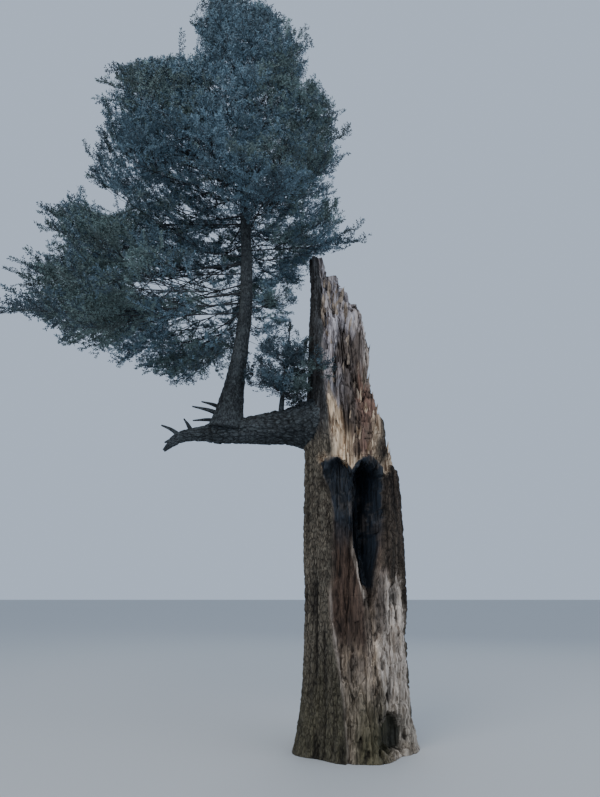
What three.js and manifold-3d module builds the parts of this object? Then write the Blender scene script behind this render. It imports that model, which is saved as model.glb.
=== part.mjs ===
// A dead fir on a pasture: a broken trunk with a burnt hollow, and the one bough that lives on.
// A new leader stands upright on that bough and carries a full crown of its own.
// Millimetres, +Z up. The origin is the middle of the flat cut at ground level. The hollow
// opens towards -Y, and the living bough reaches out towards -X.
import * as THREE from "three";
import { mergeVertices } from "three/addons/utils/BufferGeometryUtils.js";
import Module from "manifold-3d";

const wasm = await Module();
wasm.setup();

const gap = 0.3; // left between pieces that meet
const weldDistance = 0.001; // corners closer than this are one
const front = -Math.PI / 2; // the bearing that the hollow faces

// Trunk
const breastHeight = 1300;
const breastRadius = 530;
const taper = 0.018; // radius lost for each unit of height
const lean = 0.008; // drift of the axis towards +X
const flare = { reach: 70, height: 380 };
const buttress = { count: 5, reach: 38, height: 420, turn: 0.9 };
const collar = { reach: 45, turn: 0.4, middle: 3180, half: 260 }; // swelling round the bough's foot
// Slow waves round the trunk; the last one is the bark's main ridges
const waves = [
  { count: 3, reach: 11, pitch: 700 }, { count: 2, reach: 7, pitch: -430 },
  { count: 9, reach: 13, pitch: 1300 },
];
const barkThickness = 36;
const trunkColumns = 44;
const trunkRings = 33;
const lastRing = 5265; // height of the highest whole ring, just under the tip
const trunkTip = [-335, 60, 5335];
const sectionBack = 60; // how far behind the axis the sections are measured from
const frontShare = 0.7; // below 1, the columns stand closer on the front

// Outer edge of what is left of the trunk above the break: [height, distance right of the axis]
const breakFoot = 2780;
const breakEdge = [
  [2780, 440], [2870, 344], [3110, 324], [3310, 275], [3510, 226], [3690, 204], [3930, 229],
  [4050, 227], [4170, 181], [4390, 163], [4520, 100], [4540, 10], [4720, -33], [4820, -97],
  [4930, -133], [4970, -236], [5100, -265], [5265, -309],
];
// The torn front face and the back of the shell: [height, distance from the axis]
const tornFace = [[2780, 425], [3300, 370], [4400, 235], [5240, 90]];
const shellBack = [[2780, 540], [4300, 470], [5240, 215]];

// Right edge of the bark left on the front, below the break: [height, distance right of the axis]
const barkEdge = [
  [0, -150], [300, -160], [750, -210], [1000, -255], [1200, -290], [1600, -305], [2200, -305], [2780, -400],
];
const rightBarkEdge = 262; // the bark starts again here, above the pale wood
const backBarkEdge = 150; // further back than this the bark is whole
const paleWoodTop = 1620;
const deepHollow = { middle: 112, half: 150, foot: 1250, top: 2720, depth: 400, point: 620, steep: 4.5 };
const shallowHollow = { middle: -190, half: 205, foot: 900, top: 2750, depth: 130, point: 1100, steep: 2.6 };
const footHollow = { middle: 300, half: 115, foot: 20, top: 360, depth: 150, point: 50, steep: 2.6 };
const hollows = [deepHollow, shallowHollow, footHollow];
const flute = { count: 8, depth: 24, pitch: 800 }; // grooves down the torn wood
const leftwards = 1000; // height over which the section's middle moves left above the break's foot
const splinter = {
  count: 15, height: 190, extraHeight: 200, width: 34, extraWidth: 22, tilt: 0.3, from: 2900, to: 5125,
};

// The living bough, from inside the trunk to its dead end
const boughRoute = [
  [-330, 0, 3205], [-560, -5, 3195], [-1140, -20, 3140],
  [-1540, -10, 3115], [-1895, 0, 3060], [-2055, 0, 2915],
];
const boughRadii = [
  [0, 330], [0.1, 262], [0.2, 205], [0.45, 152], [0.62, 128], [0.74, 72], [0.92, 52], [1, 20],
];
// Broken stubs: [distance left of the axis, height, length, degrees up from level, share to the side]
const boughStubs = [[1860, 3060, 265, 30, -0.2], [1740, 3080, 250, 60, 0.25]];
const leaderStubs = [[1380, 3235, 400, 9, 0.35], [1370, 3290, 390, 15, -0.3], [1350, 3350, 350, 24, 0.1]];
const stubRadii = [[0, 34], [1, 9]];

// The upright leader and the young stem beside it, from inside the bough to their tips
const leaderRoute = [
  [-1365, -15, 3150], [-1318, -10, 3520], [-1236, 0, 4170], [-1197, 10, 4640],
  [-1209, 15, 5470], [-1320, 10, 7000], [-1490, 0, 9000], [-1540, 0, 9950],
];
const leaderRadii = [[0, 205], [0.035, 150], [0.08, 120], [0.16, 86], [0.35, 64], [0.7, 32], [1, 7]];
const youngRoute = [[-763, -70, 3230], [-755, -90, 3420], [-700, -110, 3900], [-662, -110, 4400]];
const youngRadii = [[0, 34], [0.3, 24], [1, 5]];

// Crown
const whorlFoot = 4850;
const whorlGap = 470;
const whorlSpread = 0.9; // share of the gap that the boughs of one whorl are spread over
const goldenShare = 0.618;
const whorlBearing = 175; // of the first bough of the lowest whorl
const boughsPerWhorl = [5, 5, 5, 5, 5, 5, 4, 4, 4, 3, 2];
// How far boughs reach from the leader, by the height that they start at
const leftReach = [
  [4850, 2900], [5050, 2850], [5350, 2400], [5800, 2350], [6250, 2000], [6700, 1720], [7300, 1740],
  [7740, 1700], [8060, 680], [9100, 480], [9600, 300],
];
const rightReach = [
  [4850, 620], [5350, 1150], [5600, 1340], [5900, 1220], [6250, 980], [6700, 1380], [7100, 1350],
  [7500, 1050], [8400, 1000], [8900, 640], [9600, 260],
];
const depthShare = 0.74; // the crown is less deep than wide
const frontFoot = 5560; // lowest bough on the front, whose side stands open
const openSide = -0.3; // sine of the bearing that the open side starts at
const slopeFoot = -0.05;
const slopeGain = 0.00014; // boughs stand steeper with each unit of height
const whorlUpturn = 0.05;
// How far one bough differs from the next: in reach, slope, degrees of bearing and sideways bend
const spread = { reach: 0.1, slope: 0.1, degrees: 14, bend: 0.16 };
const footShare = 0.75; // a bough starts inside its stem, at this share of the stem's radius
// Space kept clear round a mass: to other masses, to stems and to the trunk
const clear = { mass: 24, stem: 20, trunk: 40 };

// Boughs off the whorls: [height on the stem, bearing in degrees, reach, slope, upturn]
const looseBoughs = [
  [5240, 166, 2780, 0.02, 0.04], [4700, 200, 2350, -0.26, 0.05], [4600, 148, 1700, -0.36, 0.05],
  [4330, 190, 600, -0.8, 0.1], [4640, -18, 560, -0.1, 0.1], [4360, 14, 500, -0.3, 0.1],
];
const youngBoughs = [
  [3640, 186, 430, -0.1, 0.3], [3700, -42, 640, 0.12, -0.1], [3800, 62, 460, 0.1, 0.2],
  [3560, 248, 400, -0.1, 0.3], [3990, 160, 320, 0.3, 0.2], [4010, -25, 330, 0.25, 0.2],
];
// Sprays of needled shoots are toothed blades.
// Half a rim is a list of [share of length, share of width off the middle].
const mainSpray = {
  rim: [[0.24, 0.34], [0.29, 0.19], [0.45, 0.5], [0.49, 0.26], [0.68, 0.45], [0.71, 0.2], [0.88, 0.24]],
  ridge: [0.26, 0.62],
};
const sideSpray = {
  rim: [[0.3, 0.42], [0.36, 0.2], [0.62, 0.5], [0.66, 0.24], [0.9, 0.26]],
  ridge: [0.3],
};
const smallSpray = { rim: [[0.34, 0.46], [0.42, 0.22], [0.72, 0.42]], ridge: [0.36] };
const spray = { widthShare: 0.74, thickShare: 0.024, droop: 0.12, tilt: 0.62, roll: 0.7 };
const sprayShares = [1, 0.85, 0.7, 0.55]; // sizes tried, the largest that fits is kept
const mainShare = 0.6; // length of the main spray for each unit of the bough's reach
const fullReach = 900; // boughs that reach this far carry the full main spray
const smallReach = 600; // boughs that reach less carry small side sprays
const twig = { leastReach: 1500, order: 1, lengthShare: 0.12, sprayAt: 0.7 };
const twigShares = [[0, 0.62], [1, 0.32]]; // of the bough stem's radius
const boughStem = { radius: 12, gain: 0.009, tipShare: 0.5 };
// Side sprays: [gap between them, fewest, most], and where they start and end along the stem
const sideSprays = { gap: 300, fewest: 2, most: 6, from: 0.1, span: 0.34, angle: 34, opening: 46 };
const sideLengths = { share: 0.42, least: 230, most: 900 };

const colours = { bark: 0x5a5348, limb: 0x45423c, needles: 0x2c4238 };

const radians = THREE.MathUtils.degToRad;
const clamp = THREE.MathUtils.clamp;

// A repeatable number from 0 to 1 for each seed and index.
function draw(seed, index) {
  const s = Math.sin(seed * 127.1 + index * 311.7) * 43758.5453;
  return s - Math.floor(s);
}

// Straight lines between the points of a table of [position, value].
function along(table, at) {
  const next = table.findIndex(([x]) => x >= at);
  if (next === 0) return table[0][1];
  if (next < 0) return table[table.length - 1][1];
  const [x0, y0] = table[next - 1];
  const [x1, y1] = table[next];
  return y0 + ((y1 - y0) * (at - x0)) / (x1 - x0);
}

// A three.js geometry as a solid that can be joined and cut.
function solidOf(geometry) {
  const bare = new THREE.BufferGeometry().setIndex(geometry.index);
  bare.setAttribute("position", geometry.getAttribute("position"));
  const merged = mergeVertices(bare, weldDistance);
  const corners = [];
  for (let i = 0; i < merged.index.count; i += 3) {
    const [a, b, c] = [0, 1, 2].map((k) => merged.index.getX(i + k));
    if (a !== b && b !== c && a !== c) corners.push(a, b, c);
  }
  const vertProperties = merged.attributes.position.array;
  const triVerts = new Uint32Array(corners);
  return new wasm.Manifold(new wasm.Mesh({ numProp: 3, vertProperties, triVerts }));
}

function geometryOf(solid) {
  const { vertProperties, triVerts } = solid.getMesh();
  const geometry = new THREE.BufferGeometry();
  geometry.setAttribute("position", new THREE.BufferAttribute(vertProperties, 3));
  return geometry.setIndex(new THREE.BufferAttribute(triVerts, 1));
}

// The largest body of a solid, so that a loose scrap is dropped.
function mainBody(solid) {
  return solid.decompose().reduce((best, body) => (body.volume() > best.volume() ? body : best));
}

function named(name, solid, colour) {
  const material = new THREE.MeshStandardMaterial({ color: colour, roughness: 0.9, metalness: 0 });
  const mesh = new THREE.Mesh(geometryOf(solid), material);
  mesh.name = name;
  return mesh;
}

// How far a hollow is cut in at a place on the front: full depth inside, pointed at its foot.
function hollowDepth(hollow, across, z) {
  if (z <= hollow.foot || z >= hollow.top) return 0;
  const rise = Math.min(1, (z - hollow.foot) / hollow.point);
  const arch = Math.sqrt(Math.min(1, (hollow.top - z) / hollow.half));
  const half = hollow.half * Math.pow(rise, 0.8) * arch;
  const inside = 1 - Math.abs(across - hollow.middle) / half;
  return hollow.depth * Math.sqrt(rise) * clamp(inside * hollow.steep, 0, 1);
}

// Whether the bark is gone at a place on the trunk, below the break.
function isBare(across, deep, z) {
  if (deep > backBarkEdge || across < along(barkEdge, z)) return false;
  return z < paleWoodTop || (deep < 0 && across < rightBarkEdge);
}

const axisX = (z) => lean * z;

// The trunk's radius over its bark, with its root flare, buttresses, collar and slow waves.
function barkRadius(bearing, z) {
  const base = breastRadius - taper * (z - breastHeight) + flare.reach * Math.exp(-z / flare.height);
  const lobe = Math.cos(buttress.count * bearing + buttress.turn) * Math.exp(-z / buttress.height);
  const fromBough = Math.atan2(Math.sin(bearing - Math.PI), Math.cos(bearing - Math.PI));
  const nearCollar = (fromBough / collar.turn) ** 2 + ((z - collar.middle) / collar.half) ** 2;
  const swelling = collar.reach * Math.exp(-nearCollar);
  const wave = waves.reduce((sum, w) => sum + w.reach * Math.sin(w.count * bearing + z / w.pitch), 0);
  return base + buttress.reach * lobe + swelling + wave;
}

// The middle that a section of the trunk is measured from. It moves left with the break.
function sectionMiddle(z) {
  const moved = THREE.MathUtils.smoothstep(z, breakFoot, breakFoot + leftwards);
  const left = axisX(z) - barkRadius(Math.PI, z);
  const x = THREE.MathUtils.lerp(axisX(z), (left + axisX(z) + along(breakEdge, z)) / 2, moved);
  const y = THREE.MathUtils.lerp(sectionBack, (along(shellBack, z) - along(tornFace, z)) / 2, moved);
  return [x, y];
}

// How far the trunk goes from its section's middle: the least of the ways out to the bark, to the
// break and to the torn face, less the bark where it is gone and the depth of the hollows.
function trunkReach(bearing, z) {
  const [mx, my] = sectionMiddle(z);
  const [dx, dy] = [Math.cos(bearing), Math.sin(bearing)];
  const px = mx - axisX(z);
  const radius = barkRadius(bearing, z);
  const b = px * dx + my * dy;
  const out = -b + Math.sqrt(b * b - (px * px + my * my - radius * radius));
  if (z > breakFoot) {
    const ragged = flute.depth * Math.sin(flute.count * bearing + z / flute.pitch);
    const right = dx > 0 ? (along(breakEdge, z) + ragged - px) / dx : Infinity;
    const tornFront = dy < 0 ? (-along(tornFace, z) + ragged - my) / dy : Infinity;
    const back = dy > 0 ? (along(shellBack, z) + ragged - my) / dy : Infinity;
    return Math.min(out, right, tornFront, back);
  }
  const across = px + out * dx;
  const deep = my + out * dy;
  const bark = isBare(across, deep, z) ? barkThickness : 0;
  const hollow = deep < 0 ? Math.max(...hollows.map((h) => hollowDepth(h, across, z))) : 0;
  return out - bark - hollow;
}

function trunkPoint(bearing, z, grow = 0) {
  const [mx, my] = sectionMiddle(z);
  const out = trunkReach(bearing, z) + grow;
  return [mx + out * Math.cos(bearing), my + out * Math.sin(bearing), z];
}

// The trunk: a tube of rings from the flat cut to the tip, with closer columns on the front.
function trunkSolid(grow = 0) {
  const geometry = new THREE.CylinderGeometry(1, 1, 1, trunkColumns, trunkRings);
  const place = geometry.getAttribute("position");
  for (let i = 0; i < place.count; i++) {
    const [x, y, z] = [place.getX(i), place.getY(i), place.getZ(i)];
    const height = (y + 0.5) * lastRing;
    const turn = Math.atan2(x, z) / Math.PI;
    const bearing = front + Math.PI * (frontShare * turn + (1 - frontShare) * turn ** 3);
    if (Math.hypot(x, z) > 0.5) place.setXYZ(i, ...trunkPoint(bearing, height, grow));
    else if (y > 0) place.setXYZ(i, ...trunkTip);
    else place.setXYZ(i, 0, 0, 0);
  }
  return solidOf(geometry);
}

// Splinters that stand up along the break.
function splinters() {
  const made = [];
  for (let i = 0; i < splinter.count; i++) {
    const z = THREE.MathUtils.lerp(splinter.from, splinter.to, (i + 0.5) / splinter.count);
    const [frontmost, hindmost] = [-0.8 * along(tornFace, z), 0.5 * along(shellBack, z)];
    const deep = THREE.MathUtils.lerp(frontmost, hindmost, draw(7, i));
    const height = splinter.height + splinter.extraHeight * draw(8, i);
    const width = splinter.width + splinter.extraWidth * draw(9, i);
    const spike = new THREE.ConeGeometry(width, height, 4);
    spike.rotateX(Math.PI / 2).rotateZ(2 * Math.PI * draw(10, i));
    spike.rotateY(splinter.tilt * (draw(11, i) - 0.5));
    spike.translate(along(breakEdge, z) + axisX(z) - width, deep, z + height / 4);
    made.push(solidOf(spike));
  }
  return made;
}

// A limb of round section that tapers along a smooth route.
function limb(route, radiusAt, sides, steps) {
  const curve = new THREE.CatmullRomCurve3(route.map((p) => new THREE.Vector3(...p)));
  const chord = new THREE.Vector3().subVectors(curve.getPoint(1), curve.getPoint(0)).normalize();
  const side = Math.abs(chord.z) > 0.7 ? new THREE.Vector3(1, 0, 0) : new THREE.Vector3(0, 0, 1);
  const geometry = new THREE.CylinderGeometry(1, 1, 1, sides, steps);
  const place = geometry.getAttribute("position");
  for (let i = 0; i < place.count; i++) {
    const t = clamp(place.getY(i) + 0.5, 0, 1);
    const tangent = curve.getTangentAt(t);
    const normal = side.clone().addScaledVector(tangent, -side.dot(tangent)).normalize();
    const binormal = new THREE.Vector3().crossVectors(normal, tangent);
    const point = curve.getPointAt(t);
    point.addScaledVector(normal, place.getX(i) * radiusAt(t));
    point.addScaledVector(binormal, place.getZ(i) * radiusAt(t));
    place.setXYZ(i, point.x, point.y, point.z);
  }
  return solidOf(geometry);
}

// A flat spray that droops to its tip: a toothed rim, joined to a low ridge above it and one below.
function sprayBlade(root, outward, sideways, length, form) {
  const up = new THREE.Vector3().crossVectors(outward, sideways);
  const width = length * spray.widthShare;
  const at = (u, v, lift = 0) => {
    const point = root.clone().addScaledVector(outward, u * length).addScaledVector(sideways, v * width);
    return point.addScaledVector(up, (lift - spray.droop * u * u) * length);
  };
  const farHalf = form.rim.map(([u, v]) => [u, -v]);
  const shares = [[0, 0], ...farHalf, [1, 0], ...form.rim.toReversed()];
  const rim = shares.map(([u, v]) => at(u, v));
  const tops = form.ridge.map((u) => at(u, 0, spray.thickShare));
  const undersides = form.ridge.map((u) => at(u, 0, -spray.thickShare));
  const turnover = form.ridge[0] + form.ridge.at(-1);
  const isFar = (j) => shares[j][0] + shares[(j + 1) % rim.length][0] > turnover;
  const ridgeOf = (j) => (isFar(j) ? form.ridge.length - 1 : 0);
  const corners = [];
  for (let j = 0; j < rim.length; j++) {
    const next = (j + 1) % rim.length;
    const [top, topNext] = [ridgeOf(j), ridgeOf(next)].map((k) => rim.length + k);
    const [low, lowNext] = [top, topNext].map((k) => k + tops.length);
    corners.push(j, next, top, next, j, low);
    if (top !== topNext) corners.push(top, next, topNext, next, low, lowNext);
  }
  const geometry = new THREE.BufferGeometry().setFromPoints([...rim, ...tops, ...undersides]);
  return { solid: solidOf(geometry.setIndex(corners)), rim };
}

// The route of a crown bough: out from its stem at a slope, with its end turned up or down.
function boughLine(foot, bearing, reach, slope, upturn, seed) {
  const bend = spread.bend * (draw(seed, 1) - 0.5);
  const points = [];
  for (let k = 0; k <= 4; k++) {
    const s = k / 4;
    const turned = bearing + bend * s;
    points.push(new THREE.Vector3(
      foot.x + reach * s * Math.cos(turned),
      foot.y + reach * s * Math.sin(turned),
      foot.z + reach * s * (slope + upturn * s * s),
    ));
  }
  return points;
}

// How far the crown reaches in a bearing: an oval round the leader, wider to the open left side.
function reachTowards(bearing, z) {
  const [left, right] = [along(leftReach, z), along(rightReach, z)];
  const half = (left + right) / 2;
  const offset = (left - right) / 2;
  const deep = half * depthShare;
  const [c, s] = [Math.cos(bearing), Math.sin(bearing)];
  const a = (c / half) ** 2 + (s / deep) ** 2;
  const b = (2 * c * offset) / half ** 2;
  return (-b + Math.sqrt(b * b + 4 * a * (1 - (offset / half) ** 2))) / (2 * a);
}

// The crown's boughs: whorls up the leader, loose boughs below them, and those of the young stem.
function plannedBoughs() {
  const leader = new THREE.CatmullRomCurve3(leaderRoute.map((p) => new THREE.Vector3(...p)));
  const young = new THREE.CatmullRomCurve3(youngRoute.map((p) => new THREE.Vector3(...p)));
  const planned = [];
  const add = (name, stem, radii, z, degrees, reach, slope, upturn) => {
    const t = shareAtHeight(stem, z);
    const centre = stem.getPointAt(t);
    const bearing = radians(degrees);
    const out = along(radii, t) * footShare;
    const foot = centre.add(new THREE.Vector3(out * Math.cos(bearing), out * Math.sin(bearing), 0));
    const seed = planned.length + 1;
    planned.push({ name, seed, reach, line: boughLine(foot, bearing, reach, slope, upturn, seed) });
  };
  boughsPerWhorl.forEach((count, w) => {
    for (let b = 0; b < count; b++) {
      const seed = w * 10 + b;
      const turn = ((b + 0.5 * (w % 2)) * 360) / count;
      const degrees = whorlBearing + turn + spread.degrees * (draw(seed, 2) - 0.5);
      const z = whorlFoot + (w + whorlSpread * ((b * goldenShare) % 1)) * whorlGap;
      if (Math.sin(radians(degrees)) < openSide && z < frontFoot) continue;
      const reach = reachTowards(radians(degrees), z) * (1 + spread.reach * (draw(seed, 4) - 0.5));
      const slope = slopeFoot + slopeGain * (z - whorlFoot) + spread.slope * (draw(seed, 5) - 0.5);
      add(`whorl_${w + 1}_bough_${b + 1}`, leader, leaderRadii, z, degrees, reach, slope, whorlUpturn);
    }
  });
  looseBoughs.forEach((row, i) => add(`loose_bough_${i + 1}`, leader, leaderRadii, ...row));
  youngBoughs.forEach((row, i) => add(`young_bough_${i + 1}`, young, youngRadii, ...row));
  return planned;
}

// How far along a stem's curve, from 0 to 1, it reaches a height.
function shareAtHeight(curve, z) {
  let [low, high] = [0, 1];
  for (let i = 0; i < 30; i++) {
    const middle = (low + high) / 2;
    if (curve.getPointAt(middle).z < z) low = middle;
    else high = middle;
  }
  return (low + high) / 2;
}

function distanceToLine(point, line) {
  const nearest = new THREE.Vector3();
  let least = Infinity;
  for (let k = 1; k < line.length; k++) {
    new THREE.Line3(line[k - 1], line[k]).closestPointToPoint(point, true, nearest);
    least = Math.min(least, nearest.distanceTo(point));
  }
  return least;
}

// A place belongs to the bough whose line is nearest, and to none where a stem or the trunk is.
function isOwnSpace(point, own, boughs, stems) {
  const taken = distanceToLine(point, own.line) + clear.mass;
  const isNearer = (other) => other !== own && distanceToLine(point, other.line) < taken;
  const isInStem = (stem) => distanceToLine(point, stem.line) < stem.radius + clear.stem;
  if (boughs.some(isNearer) || stems.some(isInStem)) return false;
  if (point.z > trunkTip[2]) return true;
  const [mx, my] = sectionMiddle(point.z);
  const bearing = Math.atan2(point.y - my, point.x - mx);
  return Math.hypot(point.x - mx, point.y - my) > trunkReach(bearing, point.z) + clear.trunk;
}

// One mass of foliage: a stem, side twigs and toothed sprays, fused, in its own space. The stem
// runs on as the main spray, and side sprays leave it by turns, each tilted its own way.
function growMass(bough, boughs, stems, cut) {
  const { line, reach, seed } = bough;
  const stem = new THREE.CatmullRomCurve3(line);
  const thick = boughStem.radius + reach * boughStem.gain;
  const level = new THREE.Vector3(0, 0, 1);
  const pieces = [];
  // A spray is made smaller where it would leave the space, and skipped if that is not enough.
  const addSpray = (rootFor, outward, length, roll, form) => {
    const across = new THREE.Vector3().crossVectors(level, outward).normalize();
    const sideways = across.applyAxisAngle(outward, roll);
    for (const share of sprayShares) {
      const made = sprayBlade(rootFor(length * share), outward, sideways, length * share, form);
      if (made.rim.slice(1).every((p) => isOwnSpace(p, bough, boughs, stems))) {
        pieces.push(made.solid);
        return share;
      }
    }
    return 0;
  };
  const outwards = line.at(-1).clone().sub(stem.getPointAt(0.5)).normalize();
  const mainRoot = (length) => stem.getPointAt(1 - length / reach);
  const form = reach > fullReach ? mainSpray : sideSpray;
  const roll = spray.roll * (draw(seed, 6) - 0.5);
  const kept = addSpray(mainRoot, outwards, mainShare * reach, roll, form);
  const stemEnd = Math.min(1, 1.05 - mainShare * kept);
  const bare = [0, 0.33, 0.67, 1].map((s) => stem.getPointAt(s * stemEnd).toArray());
  pieces.push(limb(bare, (t) => thick * THREE.MathUtils.lerp(1, boughStem.tipShare, t), 3, 2));
  const count = clamp(Math.round(reach / sideSprays.gap), sideSprays.fewest, sideSprays.most);
  const length = clamp(reach * sideLengths.share, sideLengths.least, sideLengths.most);
  for (let k = 0; k < count; k++) {
    const s = sideSprays.from + (sideSprays.span * k) / (count - 1);
    const side = (k + seed) % 2 ? 1 : -1;
    const root = stem.getPointAt(s);
    const angle = side * radians(sideSprays.angle + sideSprays.opening * s);
    const outward = stem.getTangentAt(s).applyAxisAngle(level, angle);
    const tilt = -side * spray.tilt * (0.6 + 0.8 * draw(seed, 20 + k));
    const tip = root.clone().addScaledVector(outward, reach * twig.lengthShare);
    if (reach > twig.leastReach && k === twig.order && isOwnSpace(tip, bough, boughs, stems)) {
      pieces.push(limb([root.toArray(), tip.toArray()], (t) => thick * along(twigShares, t), 3, 1));
      root.lerp(tip, twig.sprayAt);
    }
    addSpray(() => root, outward, length, tilt, reach > smallReach ? sideSpray : smallSpray);
  }
  return mainBody(wasm.Manifold.union(pieces).subtract(cut));
}

// A main limb with its radii from a table, made a little wider to cut a gap beside it.
function mainLimb(route, radii, sides, steps, extra = 0) {
  return limb(route, (t) => along(radii, t) + extra, sides, steps);
}

// Broken stubs, each as its own solid.
function stubs(rows, extra = 0) {
  return rows.map(([left, z, length, degrees, side]) => {
    const up = radians(degrees);
    const tip = [-left - length * Math.cos(up), side * length, z + length * Math.sin(up)];
    return mainLimb([[-left, 0, z], tip], stubRadii, 5, 1, extra);
  });
}

const withAll = (base, extras) => extras.reduce((whole, piece) => whole.add(piece), base);
const boughWith = (extra) =>
  withAll(mainLimb(boughRoute, boughRadii, 12, 12, extra), stubs(boughStubs, extra));
const leaderWith = (extra) =>
  withAll(mainLimb(leaderRoute, leaderRadii, 8, 18, extra), stubs(leaderStubs, extra));
const youngWith = (extra) => mainLimb(youngRoute, youngRadii, 6, 5, extra);

const trunk = withAll(trunkSolid(), splinters());
const livingBough = boughWith(0).subtract(trunkSolid(2 * gap));
const boughSpace = boughWith(2 * gap);
const leader = leaderWith(0).subtract(boughSpace);
const youngStem = youngWith(0).subtract(boughSpace);
const stemSpace = leaderWith(gap).add(youngWith(gap));

const plan = plannedBoughs();
const asLine = (route) => route.map((p) => new THREE.Vector3(...p));
const stems = [
  { line: asLine(leaderRoute), radius: 85 },
  { line: asLine(youngRoute), radius: 26 },
  { line: asLine(boughRoute), radius: 170 },
];

const tree = new THREE.Group();
const snag = new THREE.Group();
snag.add(named("trunk", mainBody(trunk), colours.bark));
snag.add(named("living_bough", mainBody(livingBough), colours.limb));
const crown = new THREE.Group();
crown.add(named("leader", mainBody(leader), colours.limb));
crown.add(named("young_stem", mainBody(youngStem), colours.limb));
for (const bough of plan) {
  const mass = growMass(bough, plan, stems, stemSpace);
  crown.add(named(bough.name, mass, colours.needles));
}
tree.add(snag, crown);

export default tree;
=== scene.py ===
import math

import bpy
import numpy as np
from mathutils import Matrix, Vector


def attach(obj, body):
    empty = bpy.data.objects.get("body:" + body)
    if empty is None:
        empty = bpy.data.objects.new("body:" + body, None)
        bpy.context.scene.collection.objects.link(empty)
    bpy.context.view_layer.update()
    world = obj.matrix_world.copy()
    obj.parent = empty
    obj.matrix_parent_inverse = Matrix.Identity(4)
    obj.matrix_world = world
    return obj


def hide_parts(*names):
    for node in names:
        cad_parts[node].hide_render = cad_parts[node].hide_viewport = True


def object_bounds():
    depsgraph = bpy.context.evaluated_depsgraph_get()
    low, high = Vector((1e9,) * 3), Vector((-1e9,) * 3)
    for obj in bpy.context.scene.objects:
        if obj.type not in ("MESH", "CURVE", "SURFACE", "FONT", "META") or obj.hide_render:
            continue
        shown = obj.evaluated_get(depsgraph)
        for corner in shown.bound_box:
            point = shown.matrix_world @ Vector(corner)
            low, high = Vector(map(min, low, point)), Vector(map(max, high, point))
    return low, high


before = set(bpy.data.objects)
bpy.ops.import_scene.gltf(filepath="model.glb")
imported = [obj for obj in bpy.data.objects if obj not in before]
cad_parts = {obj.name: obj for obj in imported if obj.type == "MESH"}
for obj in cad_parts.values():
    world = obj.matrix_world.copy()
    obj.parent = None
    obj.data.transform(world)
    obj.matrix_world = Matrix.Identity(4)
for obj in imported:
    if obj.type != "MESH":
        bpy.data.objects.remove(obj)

solidBox = [list(corner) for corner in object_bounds()]
print("frame loaded", solidBox)

# Numbers, noise and curves as whole arrays

drawRule = {"seedStep": 127.1, "indexStep": 311.7, "stretch": 43758.5453}
latticeRule = {
    "steps": (0x8DA6B343, 0xD8163841, 0xCB1AB31F), "seedStep": 2654435761, "whole": 2**32, "lastShift": 15,
    "mixes": ((0x5BD1E995, 13), (0x27D4EB2D, 15), (0x165667B1, 16)),  # [multiplier, shift]
}
cellRule = {"edge": 0.15, "jitter": 0.7, "far": 9.0, "ownSeed": 7}
routeSteps = 40  # samples between two points of a smooth route
tiniest = 1e-9
uprightShare = 0.9  # a heading is upright past this share of Z


# A repeatable number from 0 to 1 for each seed and index, as in the part's source.
def draw(seed, index):
    angle = np.asarray(seed) * drawRule["seedStep"] + np.asarray(index) * drawRule["indexStep"]
    s = np.sin(angle) * drawRule["stretch"]
    return s - np.floor(s)


# 0 below low, 1 above high, eased between them.
def ease(low, high, value):
    t = np.clip((value - low) / (high - low), 0, 1)
    return t * t * (3 - 2 * t)


# 1 inside a range and 0 outside it, eased over a margin at both ends.
def within(low, high, margin, value):
    return ease(low - margin, low + margin, value) * (1 - ease(high - margin, high + margin, value))


def unit(vectors):
    return vectors / np.maximum(np.linalg.norm(vectors, axis=-1, keepdims=True), 1e-9)


# Each vector turned about an axis: v cos a + (k x v) sin a + k (k.v)(1 - cos a).
def turned(vectors, axes, angles):
    c, s = np.cos(angles)[..., None], np.sin(angles)[..., None]
    along = np.sum(axes * vectors, axis=-1, keepdims=True)
    return vectors * c + np.cross(axes, vectors) * s + axes * along * (1 - c)


# A number from 0 to 1 for each corner of a lattice, mixed from its whole numbers.
def cornerValue(corner, seed):
    i, j, k = (corner[..., axis].astype(np.int64).astype(np.uint32) for axis in range(3))
    iStep, jStep, kStep = (np.uint32(step) for step in latticeRule["steps"])
    h = i * iStep ^ j * jStep ^ k * kStep
    h ^= np.uint32(seed * latticeRule["seedStep"] % latticeRule["whole"])
    for multiplier, shift in latticeRule["mixes"]:
        h = (h ^ (h >> np.uint32(shift))) * np.uint32(multiplier)
    return (h ^ (h >> np.uint32(latticeRule["lastShift"]))).astype(np.float64) / latticeRule["whole"]


# Value noise from 0 to 1: the eight lattice corners round a point, blended by eased shares.
def softNoise(points, seed):
    base = np.floor(points)
    f = points - base
    f = f * f * (3 - 2 * f)
    total = 0
    for corner in np.ndindex(2, 2, 2):
        share = np.prod(np.where(corner, f, 1 - f), axis=-1)
        total = total + share * cornerValue(base + corner, seed)
    return total


# Octaves of noise, each twice as fine and half as strong, from 0 to 1.
def layeredNoise(points, seed, octaves=3):
    total, weight = 0, 0
    for k in range(octaves):
        total = total + softNoise(points * 2**k, seed + k) * 0.5**k
        weight += 0.5**k
    return total / weight


# Ridges: 1 on the line where the noise crosses its middle, 0 far from it.
def ridgeNoise(points, seed):
    return 1 - np.abs(2 * layeredNoise(points, seed, 2) - 1)


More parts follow.
